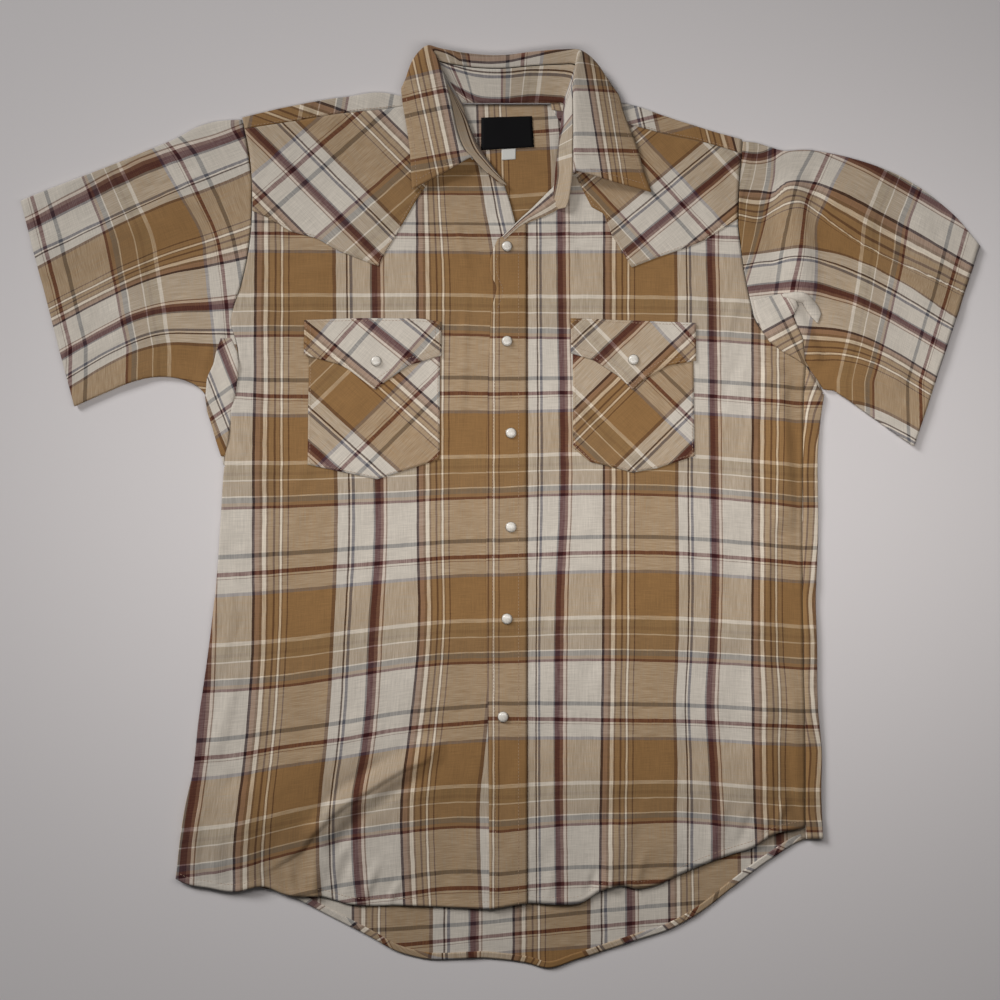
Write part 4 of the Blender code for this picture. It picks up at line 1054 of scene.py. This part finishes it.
def sleeve(name, arm_rows, seam_x, arm_top, armpit, rings, folds, creases, warp, weft, flip):
    """A flattened tube in rings from the armhole seam to the hem. Returns its upper side."""
    seam = [(float(seam_x(arm_top)), arm_top - CLOTH)]
    seam += [(float(seam_x(y)), y) for y in arm_rows[:0:-1]]
    seam += [armpit]
    around = np.linspace(0, 1, SLEEVE_POINTS)
    line_x, line_y = walked(seam, around * lengths(seam)[-1])
    knots = np.arange(len(rings["bulge"]) + 1.0)
    spots = np.linspace(0, knots[-1], SLEEVE_RINGS)[:, None]
    first = dict(top_x=seam[0][0], top_y=seam[0][1], low_x=armpit[0], low_y=armpit[1], bulge=1.0)
    full = {key: np.concatenate([[first[key]], rings[key]]) for key in rings}
    full["knot"] = knots
    top_x, top_y, low_x, low_y, bulge = (smooth(full, "knot", key)(spots) for key in rings)
    x = mix(top_x, low_x, around) + bulge * (line_x - mix(seam[0][0], armpit[0], around))
    y = mix(top_y, low_y, around) + bulge * (line_y - mix(seam[0][1], armpit[1], around))
    rise = np.clip((spots - 1) / 3, 0, 1)
    upper = front_low(x, y) + HALF + ripple(x, y, 7)
    upper = upper + rise * (ridges(x, y, folds) + creased(x, y, creases))
    lower = flat_back(x, y)
    down = np.stack([low_x - top_x, low_y - top_y])
    down = down / np.linalg.norm(down, axis=0)
    angles = np.linspace(0.5, -0.5, 9)[1:-1] * math.pi
    out, turn = SLEEVE_EDGE * np.cos(angles), (1 + np.sin(angles)) / 2
    parts = ((x, y, upper),
             (x[:, -1:] + down[0] * out, y[:, -1:] + down[1] * out,
              mix(lower[:, -1:], upper[:, -1:], turn)),
             (x[:, ::-1], y[:, ::-1], lower[:, ::-1]),
             (x[:, :1] - down[0] * out[::-1], y[:, :1] - down[1] * out[::-1],
              mix(lower[:, :1], upper[:, :1], turn[::-1])))
    x, y, z = (np.concatenate(grids, axis=1) for grids in zip(*parts))
    u, v = counted(y, warp, "x", x, WARP_REPEAT), counted(x, weft, "y", y, WEFT_REPEAT)
    order = slice(None, None, 1 if flip else -1)
    cloth(name + "_cloth", name, *(part[:, order] for part in (x, y, z, u, v)), sleeve_cotton,
          "plaid_sleeves", (0.56, 0.20, 0.079), wrap=True)
    return parts[0]


def resting(x, y, top):
    """Height of a piece that lies on a surface, from the four points of it that are nearest."""
    places = np.column_stack([top[0].ravel(), top[1].ravel()])
    spots = np.column_stack([x.ravel(), y.ravel()])
    gaps = ((spots[:, None] - places[None]) ** 2).sum(axis=2)
    near = np.argsort(gaps, axis=1)[:, :4]
    shares = 1 / (np.take_along_axis(gaps, near, 1) + 0.01)
    heights = (top[2].ravel()[near] * shares).sum(axis=1) / shares.sum(axis=1)
    return heights.reshape(x.shape)


right_arm = sleeve("right_sleeve", ARM_ROWS["right"], lambda y: right_edge(y) - SEAM, ARM_TOPS[0],
                   ARMPITS[0], RIGHT_SLEEVE, RIGHT_SLEEVE_FOLDS, RIGHT_SLEEVE_CREASES,
                   RIGHT_SLEEVE_WARP, RIGHT_SLEEVE_WEFT, False)
left_arm = sleeve("left_sleeve", ARM_ROWS["left"], lambda y: left_armhole(y) + SEAM, ARM_TOPS[1],
                  ARMPITS[1], LEFT_SLEEVE, LEFT_SLEEVE_FOLDS, LEFT_SLEEVE_CREASES,
                  LEFT_SLEEVE_WARP, LEFT_SLEEVE_WEFT, True)


# Cloth that is bunched at the armpits: a tuck under the right arm, and on the left a fold that
# hangs over in a point with a rolled tongue beside it.
RIGHT_TUCK = (
    ((-247.6, 138.8), (-251.6, 126.9), (-253.9, 115.5), (-259.2, 103.4), (-260.8, 85.4),
     (-258.7, 72.5), (-254.5, 60.5), (-250.3, 46.6), (-246.1, 33.8)),
    ((-239.0, 138.8), (-233.0, 126.3), (-230.6, 112.4), (-231.6, 104.8), (-233.6, 88.7),
     (-235.6, 80.4), (-238.5, 60.5), (-240.5, 44.6), (-242.8, 33.0)),
)
RIGHT_TUCK_WARP = slant(
    (103.5, -249.3, 130.4, -235.8, 98.4), (79.5, -257.3, 107.4, -240.2, 60.5),
    (110.6, -245.8, 137.5, -233.1, 114.4),
)
RIGHT_TUCK_WEFT = slant(
    (37.4, -256.9, 82.5, -237.2, 94.4), (51, -253.1, 66.5, -237.0, 80.4),
    (67.6, -245.6, 54.5, -239.6, 57.6),
)
LEFT_ARM_FOLD = (
    ((225.5, 173.0), (226.3, 166.9), (229.6, 154.2), (233.1, 145.2), (239.2, 135.5),
     (250.1, 127.0), (261.9, 120.8), (272.4, 113.5)),
    ((253.6, 179.5), (262.4, 174.1), (264.9, 166.9), (260.3, 157.9), (264.1, 148.3),
     (268.2, 138.9), (270.3, 118.4), (273.7, 112.6)),
)
LEFT_TONGUE = (
    ((250.3, 178.0), (261.8, 179.6), (269.6, 178.7), (277.0, 174.4), (283.1, 167.4),
     (285.3, 160.2), (282.2, 152.5)),
    ((251.3, 175.2), (258.1, 173.0), (262.8, 170.8), (268.3, 169.7), (271.2, 165.3),
     (275.2, 159.3), (281.2, 152.5)),
)
ARM_FOLD_WARP = slant(
    (0.9, 231.7, 145.2, 260.3, 157.9), (9.4, 238.7, 135.4, 261.9, 147.9),
    (22.6, 250.0, 126.4, 268.0, 138.9),
)
ARM_FOLD_WEFT = slant(
    (37.4, 241.0, 174.1, 268.5, 116.6), (51, 251.7, 175.9, 267.2, 143.4),
)
TONGUE_WARP = slant(
    (88.0, 253.3, 160.0, 290.0, 160.0), (97.5, 253.3, 181.0, 290.0, 181.0),
)
TONGUE_WEFT = slant(
    (8.0, 253.0, 155.0, 253.0, 181.0), (30.0, 284.0, 155.0, 284.0, 181.0),
)
arch = np.sin(np.linspace(0, math.pi, 17)) ** 0.5 * np.sin(np.linspace(0.15, 0.95, 49) * math.pi)[:, None]
for name, node, outline, top, lift, round_up, cut, *pattern in (
    ("right_arm_tuck", "right_sleeve", RIGHT_TUCK, right_arm, 0.5, 1.2, (0.024, 0.11, 0.0021),
     RIGHT_TUCK_WARP, RIGHT_TUCK_WEFT),
    ("left_arm_fold", "left_sleeve", LEFT_ARM_FOLD, left_arm, 0.7, 2.2, (0.04, 0.08, 0.0018),
     ARM_FOLD_WARP, ARM_FOLD_WEFT),
    ("left_arm_tongue", "left_sleeve", LEFT_TONGUE, left_arm, 1.0, 2.6, (0.018, 0.05, 0.0005),
     TONGUE_WARP, TONGUE_WEFT),
):
    x, y = between(*outline, 48, 16)
    z = resting(x, y, top) + lift + round_up * arch
    cloth(name, node, x, y, z, *slanted_plaid(x, y, *pattern), sleeve_cotton, "plaid_sleeves", cut)

# ------------------------------
# Collar. An interlined two-layer fall over a stand, cut along the stripes: it rolls over at the
# neck, lies flat behind and ends in a long point on each front.

COLLAR = table(
    "base_x base_y base_z roll_x roll_y roll_z mid_x mid_y mid_z edge_x edge_y edge_z",
    (6, 277, 4.6, -6, 281, 8, -6, 281, 8, -6, 281, 8),
    (-1, 286, 4.6, -18, 290, 10, -18, 290, 10, -18, 290, 10),
    (-9, 297, 4.6, -28, 299, 11.5, -52, 286, 9, -78.5, 272.6, 6.6),
    (-18, 310, 4.6, -37, 308, 12.5, -60, 303, 9.8, -79.6, 291, 6.6),
    (-26, 327, 4.6, -43, 325, 13.5, -64, 322, 10.4, -81, 312, 6.6),
    (-31, 341, 4.4, -47.5, 350, 14, -69, 345, 10.6, -84.5, 335, 6.6),
    (-33, 348, 3.9, -53, 373, 14, -74, 366, 10.2, -87.5, 353, 6.6),
    (-34, 351.5, 3.4, -59, 391, 14, -78, 382, 9, -88, 366, 6),
    (-34, 353.2, 3, -64, 401, 13, -77, 392, 6, -80, 369, 3.8),
    (-30, 353.2, 2.9, -52, 399, 11, -60, 394, 2.7, -62, 362, 1.8),
    (-18, 353.2, 2.9, -25, 395, 9.5, -28, 389, 2.1, -30, 358.5, 1.5),
    (2, 353.2, 2.9, 2, 394, 9, 2, 388, 1.9, 2, 358, 1.5),
    (24, 353.2, 2.9, 30, 397, 9.5, 32, 391, 2.1, 34, 358.5, 1.5),
    (47, 353.2, 2.9, 55, 398, 11.5, 62, 393, 2.9, 66, 362, 1.9),
    (56.5, 352.5, 3.8, 71.5, 396, 14, 85, 388, 6.6, 88, 365, 4.2),
    (57, 345, 4.9, 70, 384, 15, 91, 377, 10, 104.5, 361, 6.6),
    (55.5, 337, 5.0, 68.5, 366, 15, 93, 358, 11, 110, 345, 6.6),
    (54, 327, 4.8, 69, 345, 15, 94, 340, 11, 115, 331, 6.6),
    (52.5, 315, 4.6, 69.5, 322, 14, 97, 318, 10.6, 122, 313, 6.6),
    (50.5, 299, 4.6, 70, 302, 13, 101, 297, 10, 128, 291, 6.6),
    (49, 283, 4.6, 70.5, 287, 12, 104, 278, 8.8, 135.2, 270, 6.6),
    (48, 264, 4.6, 67, 264, 10.5, 67, 264, 10.5, 67, 264, 10.5),
    (52, 255, 4.6, 61.5, 256, 9.0, 61.5, 256, 9.0, 61.5, 256, 9.0),
)
LEAF_SECTIONS = (2, 21)  # the sections that the fall spans
STAND_SHARE = 0.72
COLLAR_GAP = 1.0
# Where the stripes lie, by section: along the roll and across it, then the same on the stand.
COLLAR_STRIPES = table(
    "section warp weft stand stand_weft",
    (0, 0, -44, 63, 250), (2, 3, -24, 63, 240), (4, 4, 7, 63, 230), (5, 6, 31, 63, 222),
    (6, 8, 55, 63, 214), (7, 9, 72, 63, 208), (8, 9, 97, 63, 203), (9, 9, 115, 63, 198),
    # At sections 13 to 17 the stand's column shifts the plaid so that its dark burgundy stripe lies along
    # the stand's base at the front corner: a real stripe, moved there as painted shade in the fold.
    (10, 8, 150, 63, 171), (11, 7, 177, 63, 145), (12, 5, 204, 62, 117), (13, 2, 228, 60, 93),
    (14, 0, 249, 58, 70), (15, -2, 268, 63, 50), (16, -4, 285, 72, 26), (17, -6, 300, 80, 3),
    (18, -8, 322, 80, -18), (19, -10, 343, 80, -37), (20, -12, 359, 80, -53),
    (22, -14, 385, 80, -74),
)
# The same on the points, where the pattern lies at a slant.
RIGHT_POINT_WARP = slant(
    (22.6, -77.1, 385.0, -55.2, 288.9), (9.4, -65.5, 398.9, -42.8, 290.7),
    (0.9, -53.5, 383.5, -39.0, 308.0),
)
RIGHT_POINT_WEFT = slant(
    (67.6, -87.7, 369.4, -58.2, 375.8), (50.8, -82.3, 355.6, -44.7, 359.3),
    (37.3, -80.4, 341.9, -42.9, 345.5), (0.6, -78.4, 298.0, -39.2, 303.5),
    (-8.5, -77.5, 286.2, -44.5, 291.6),
)
LEFT_POINT_WARP = slant(
    (0.9, 74.3, 389.2, 91.6, 279.5), (9.4, 82.4, 384.6, 97.8, 281.3),
    (22.6, 94.0, 375.4, 108.5, 281.3),
)
LEFT_POINT_WEFT = slant(
    (283.4, 68.9, 368.0, 89.4, 368.0), (289.0, 68.8, 360.7, 94.8, 360.7),
    (325.7, 68.7, 318.6, 105.2, 319.5), (339.2, 68.6, 304.9, 105.1, 306.7),
    (356.0, 71.2, 288.6, 99.7, 291.3),
)


def through(points, count):
    """A smooth line through points, given along the first axis, with steps between each two."""
    points = np.asarray(points, float)
    ends = np.concatenate([[2 * points[0] - points[1]], points, [2 * points[-1] - points[-2]]])
    line = []
    for before, start, end, after in zip(ends, ends[1:], ends[2:], ends[3:]):
        for t in np.arange(count) / count:
            line.append(start + 0.5 * (
                (end - before) * t + (2 * before - 5 * start + 4 * end - after) * t**2
                + (3 * start - before - 3 * end + after) * t**3))
    return np.array(line + [points[-1]])


def collar_lines(first, last):
    """Base, roll, middle and edge lines of the collar between two of its sections."""
    lines = (np.column_stack([COLLAR[f"{part}_{axis}"] for axis in "xyz"])
             for part in ("base", "roll", "mid", "edge"))
    return [through(line[first:last], FINE) for line in lines]


def by_section(key):
    """A column of the stripes' table, at the sections of the lines."""
    return smooth(COLLAR_STRIPES, "section", key)(sections)[:, None]


def collar_cloth(name, node, places, u, v, thick, cut):
    """The stand or the fall: a folded sheet on rows of places from end to end."""
    cloth(name, node, *(places[..., i][:, ::-1] for i in range(3)), (u / WARP_REPEAT)[:, ::-1],
          (v / WEFT_REPEAT)[:, ::-1], collar_cotton, "plaid_collar", cut, thick=thick, held="folded")


FINE = 10  # rows to a section
collar_cotton = plaid_cotton("plaid cotton of the collar", bump=0.2)
base, roll, mid, edge_line = collar_lines(0, len(COLLAR["base_x"]))
sections = np.arange(len(base)) / FINE
shares = np.linspace(0, STAND_SHARE, 11)
stand = np.stack([mix(base, roll, share) for share in shares], 1)
height = np.linalg.norm(roll - base, axis=1)[:, None]
u = by_section("stand") + height * (1 - shares)
collar_cloth("collar_stand_cloth", "collar_stand", stand, u, by_section("stand_weft") + 0 * u, 1.1,
             (0.30, 0.032, 0.0062))

ROLL = 9  # steps from the joint up to the roll
base, roll, mid, edge_line = collar_lines(*LEAF_SECTIONS)
sections = LEAF_SECTIONS[0] + np.arange(len(base)) / FINE
top = mix(base, roll, STAND_SHARE)
ahead = np.gradient(top, axis=0)
rising = (roll - base) / np.linalg.norm(roll - base, axis=1)[:, None]
lean = np.linalg.norm(np.cross(rising, ahead), axis=1) / np.linalg.norm(ahead, axis=1)
joint = top + rising * (COLLAR_GAP / lean)[:, None]
fall = through(np.stack([joint, roll, mid, edge_line]), ROLL).transpose(1, 0, 2)
run = np.stack([lengths(line) for line in fall])
past_roll = run - run[:, ROLL:ROLL + 1]
u = by_section("warp") + past_roll
v = by_section("weft") + 0 * u
on_top = np.where(past_roll[..., None] > 0, fall, fall[:, ROLL:ROLL + 1])
for share, warp, weft in (
    (np.clip((9.5 - sections) / 1.5, 0, 1), RIGHT_POINT_WARP, RIGHT_POINT_WEFT),
    (np.clip((sections - 13.5) / 1.5, 0, 1), LEFT_POINT_WARP, LEFT_POINT_WEFT),
):
    there_u = slanted(on_top[..., 0], on_top[..., 1], warp, 1.0) + np.minimum(past_roll, 0)
    there_v = slanted(on_top[..., 0], on_top[..., 1], weft, 1.0)
    u, v = mix(u, there_u, share[:, None]), mix(v, there_v, share[:, None])
collar_cloth("collar_cloth", "collar", fall, u, v, 1.3, (0.40, 0.075, 0.0192))

# ------------------------------
# Snaps. Eight pearl caps, each set in a thin metal ring. The ring's prongs go through the cloth
# and hold the snap's back to it.

FRONT_SNAPS = table(
    "x y",
    (6.2, 221.3), (6.2, 135.7), (9.7, 53.8), (9.6, -29.1), (6.1, -109.3), (2.6, -193.9),
)
RIGHT_FLAP_SNAP = (-109.7, 117.8)
LEFT_FLAP_SNAP = (118.1, 119.0)
SNAP_RING = table(
    "radius height",
    (4.0, 0.2), (4.75, 0.0), (4.8, 0.45), (4.65, 0.95), (4.4, 1.15), (4.2, 1.05), (4.1, 0.8),
)
SNAP_CAP = table(
    "radius height",
    (4.15, 0.4), (4.2, 1.0), (4.05, 1.5), (3.6, 1.95), (2.9, 2.25), (1.8, 2.48), (0.9, 2.56),
    (0.0, 2.58),
)


def grain(tree, sockets):
    """Noise that runs through a material, by the piece's own axes."""
    made = tree.nodes.new("ShaderNodeTexNoise")
    dial(made, sockets)
    axes = tree.nodes.new("ShaderNodeTexCoord")
    tree.links.new(axes.outputs["Object"], made.inputs["Vector"])
    return made.outputs["Fac"]


def two_tone(tree, factor, dark, pale):
    """Colours a material from dark to pale by a factor."""
    ramp = tree.nodes.new("ShaderNodeValToRGB")
    for stop, place, colour in zip(ramp.color_ramp.elements, (0.3, 0.7), (dark, pale)):
        stop.position = place
        stop.color = (*colour, 1.0)
    tree.links.new(factor, ramp.inputs["Fac"])
    tree.links.new(ramp.outputs["Color"], tree.nodes["Principled BSDF"].inputs["Base Color"])


metal = finish("brushed snap ring", {"Base Color": (0.42, 0.39, 0.35, 1.0), "Metallic": 1.0})
wear = metal.node_tree.nodes.new("ShaderNodeTexNoise")
wear.inputs["Scale"].default_value = 900.0
worn = metal.node_tree.nodes.new("ShaderNodeMapRange")
dial(worn, {"To Min": 0.32, "To Max": 0.52})
metal.node_tree.links.new(wear.outputs["Fac"], worn.inputs["Value"])
metal_shader = metal.node_tree.nodes["Principled BSDF"]
metal.node_tree.links.new(worn.outputs[0], metal_shader.inputs["Roughness"])
pearl = finish("pearl cap", {"Roughness": 0.28, "Coat Weight": 0.5, "Coat Roughness": 0.12})
two_tone(pearl.node_tree, grain(pearl.node_tree, {"Scale": 260.0, "Distortion": 1.6}),
         (0.66, 0.60, 0.52), (0.86, 0.82, 0.76))
TURNS = 28


def turned(name, node, profile, place, material):
    """A ring or a cap turned on an upright axis. A profile that ends on the axis makes a cap."""
    angle = np.arange(TURNS) * math.tau / TURNS
    radius, height = profile["radius"][:, None], profile["height"][:, None]
    points = np.stack([radius * np.cos(angle), radius * np.sin(angle), height + 0 * angle], -1)
    points = points.reshape(-1, 3)
    cap = profile["radius"][-1] == 0
    count = len(profile["radius"])
    tip = (count - 1) * TURNS
    corners = []
    for i in range(TURNS):
        k = (i + 1) % TURNS
        for j in range(count - 2 if cap else count):
            low, high = j * TURNS, (j + 1) % count * TURNS
            corners.append((low + i, low + k, high + k, high + i))
        if cap:
            corners.append((tip - TURNS + i, tip - TURNS + k, tip))
    if cap:
        points = points[:tip + 1]
        corners.append(tuple(range(TURNS))[::-1])
    piece = put(name, points, corners, material, place)
    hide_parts(node)


snaps = [(f"front_snap_{i}", f"front_snap_{i}", x, y, PLACKET_LIFT + PLACKET_WALL / 2)
         for i, (x, y) in enumerate(zip(*FRONT_SNAPS.values()), 1)]
snaps += [(f"{side}_flap", f"{side}_flap_snap", x, y, FLAP_LIFT + DOUBLE / 2)
          for side, (x, y) in (("right", RIGHT_FLAP_SNAP), ("left", LEFT_FLAP_SNAP))]
for name, node, x, y, lift in snaps:
    place = (x, y, float(front_middle(x, y)) + lift)
    turned(f"{name}_ring", node, SNAP_RING, place, metal)
    turned(f"{name}_cap", node, SNAP_CAP, place, pearl)

# ------------------------------
# Neck label and size tab. A black woven label stitched to the yoke, and a white tape below it,
# both left bare.

LABEL = (((-17, 310), (30.6, 313)), ((-17, 340), (28.8, 341.5)))
TAB = (((1.5, 301), (14, 302)), ((1.8, 311.4), (14.2, 312.2)))

for name, corners, colour, slot, lift in (
    ("neck_label", LABEL, (0.004, 0.0035, 0.004), "label_cloth", 0.9),
    ("size_tab", TAB, (0.66, 0.64, 0.60), "white_tape", 0.45),
):
    tape = finish(name.replace("_", " ") + " cloth",
                  {"Base Color": (*colour, 1.0), "Roughness": 0.75, "Specular IOR Level": 0.12})
    embossed(tape.node_tree, grain(tape.node_tree, {"Scale": 2600.0}), 0.4, 0.0002)
    corners = np.array(corners, float)
    part, up = np.meshgrid(np.linspace(0, 1, 17), np.linspace(0, 1, 11))
    flat = mix(mix(corners[0, 0], corners[0, 1], part[..., None]),
               mix(corners[1, 0], corners[1, 1], part[..., None]), up[..., None])
    x, y = flat[..., 0], flat[..., 1]
    wide, tall = np.ptp(x) * MM, np.ptp(y) * MM
    cloth(name + "_cloth", name, x, y, flat_back(x, y) + lift, part, up, tape, slot,
          (wide, tall, wide * tall), thick=0.4)

# ------------------------------
# Topstitching. Tan thread in short even stitches, one row or two along each seam, hem and edge.
# Each stitch is a bead of thread half sunk in the cloth.

STITCH = 2.3
STITCH_PITCH = 3.0
STITCH_WIDE = 0.42
STITCH_TALL = 0.22
# Heights of the stitches over the middle of the fronts' cloth.
ON_CLOTH = 0.35
ON_YOKE = 1.2
ON_FLAP = 2.1
ON_PLACKET = 1.5
thread = finish("tan sewing thread", {"Roughness": 0.6, "Sheen Weight": 0.2})
two_tone(thread.node_tree, grain(thread.node_tree, {"Scale": 700.0, "Detail": 3.0}),
         (0.33, 0.20, 0.12), (0.50, 0.33, 0.22))


def stitched(name, lines):
    """Stitches along lines of points in millimetres: each is a thin bead, pinched at its ends."""
    points, corners = [], []
    for line in lines:
        for start in np.arange(0.5, lengths(line)[-1] - STITCH, STITCH_PITCH):
            head, foot = np.transpose(walked(line, (start, start + STITCH)))
            ahead = (foot - head) / np.linalg.norm(foot - head)
            side = np.array((-ahead[1], ahead[0], 0.0)) * STITCH_WIDE / 2
            rise = np.array((0.0, 0.0, STITCH_TALL / 2))
            first = len(points)
            points.append(head)
            for middle in (mix(head, foot, 0.22), mix(head, foot, 0.78)):
                points += [middle + side, middle + rise, middle - side, middle - rise]
            points.append(foot)
            for i in range(4):
                k = (i + 1) % 4
                corners.append((first, first + 1 + k, first + 1 + i))
                corners.append((first + 1 + i, first + 1 + k, first + 5 + k, first + 5 + i))
                corners.append((first + 5 + i, first + 5 + k, first + 9))
    put(name, points, corners, thread)


def row_on(x, y, lift):
    """A line of stitches on the fronts, or on a piece that lies on them."""
    points = np.column_stack([x, y])
    x, y = walked(points, np.arange(0, lengths(points)[-1], 2.0))
    return np.column_stack([x, y, front_middle(x, y) + lift])


def inset(outline, by):
    """The lower outline of a pointed piece, moved in and up from its edge."""
    x, y = outline["x"], outline["y"]
    return x + np.sign(x[np.argmin(y)] - x) * by * 0.8, y + by * 0.9


heights = np.linspace(-354.0, 236.0, 300)
edge_heights = heights[:290]
stitched("placket_stitches", [
    row_on(cornered(PLACKET_WARP, "y", "u53.0")(heights) - 6.6, heights, ON_PLACKET),
    row_on(placket_edge(edge_heights) + 5.5, edge_heights, ON_PLACKET),
])
stitched("yoke_stitches", [row_on(*inset(outline, 1.8), ON_YOKE) for outline in (RIGHT_YOKE, LEFT_YOKE)])
right_row, left_row = np.linspace(-228, -92, 80), np.linspace(106, 214, 70)
stitched("shoulder_stitches", [
    row_on(right_row, right_seam(right_row) + 1.8, ON_CLOTH),
    row_on(left_row, left_seam(left_row) + 1.8, ON_CLOTH),
])
pocket_rows = []
for outline, top_y, by, lift in (
    (RIGHT_POCKET, 118.0, 1.8, ON_YOKE), (LEFT_POCKET, 118.0, 1.8, ON_YOKE),
    (RIGHT_FLAP, 152.0, 1.8, ON_FLAP), (LEFT_FLAP, 151.0, 1.8, ON_FLAP),
    (RIGHT_FLAP, 150.0, 5.5, ON_FLAP), (LEFT_FLAP, 149.0, 5.5, ON_FLAP),
):
    x, y = inset(outline, by)
    x[0], x[-1] = outline["x"][0] + by, outline["x"][-1] - by
    pocket_rows.append(row_on([x[0], *x, x[-1]], [top_y, *y, top_y], lift))
pocket_rows += [row_on(top["x"], top["y"] - 2.0, ON_FLAP) for top in (RIGHT_FLAP_TOP, LEFT_FLAP_TOP)]
stitched("pocket_stitches", pocket_rows)
hem_row = np.linspace(-276, 262, 260)
stitched("hem_stitches", [row_on(hem_row, front_hem(hem_row) + HEM_DEEP, ON_CLOTH)])
# On the collar a row runs 5 mm in from the edge of each point, and one across each front end.
collar_rows = []
for rows in (slice(0, 66), slice(122, None)):
    row = [walked(line, length - 5.0) for line, length in zip(fall[rows], run[rows, -1])]
    collar_rows.append(np.array(row) + (0, 0, 0.72))
collar_rows += [fall[end, 12:26] + (0, 0, 0.75) for end in (3, -4)]
stitched("collar_stitches", collar_rows)
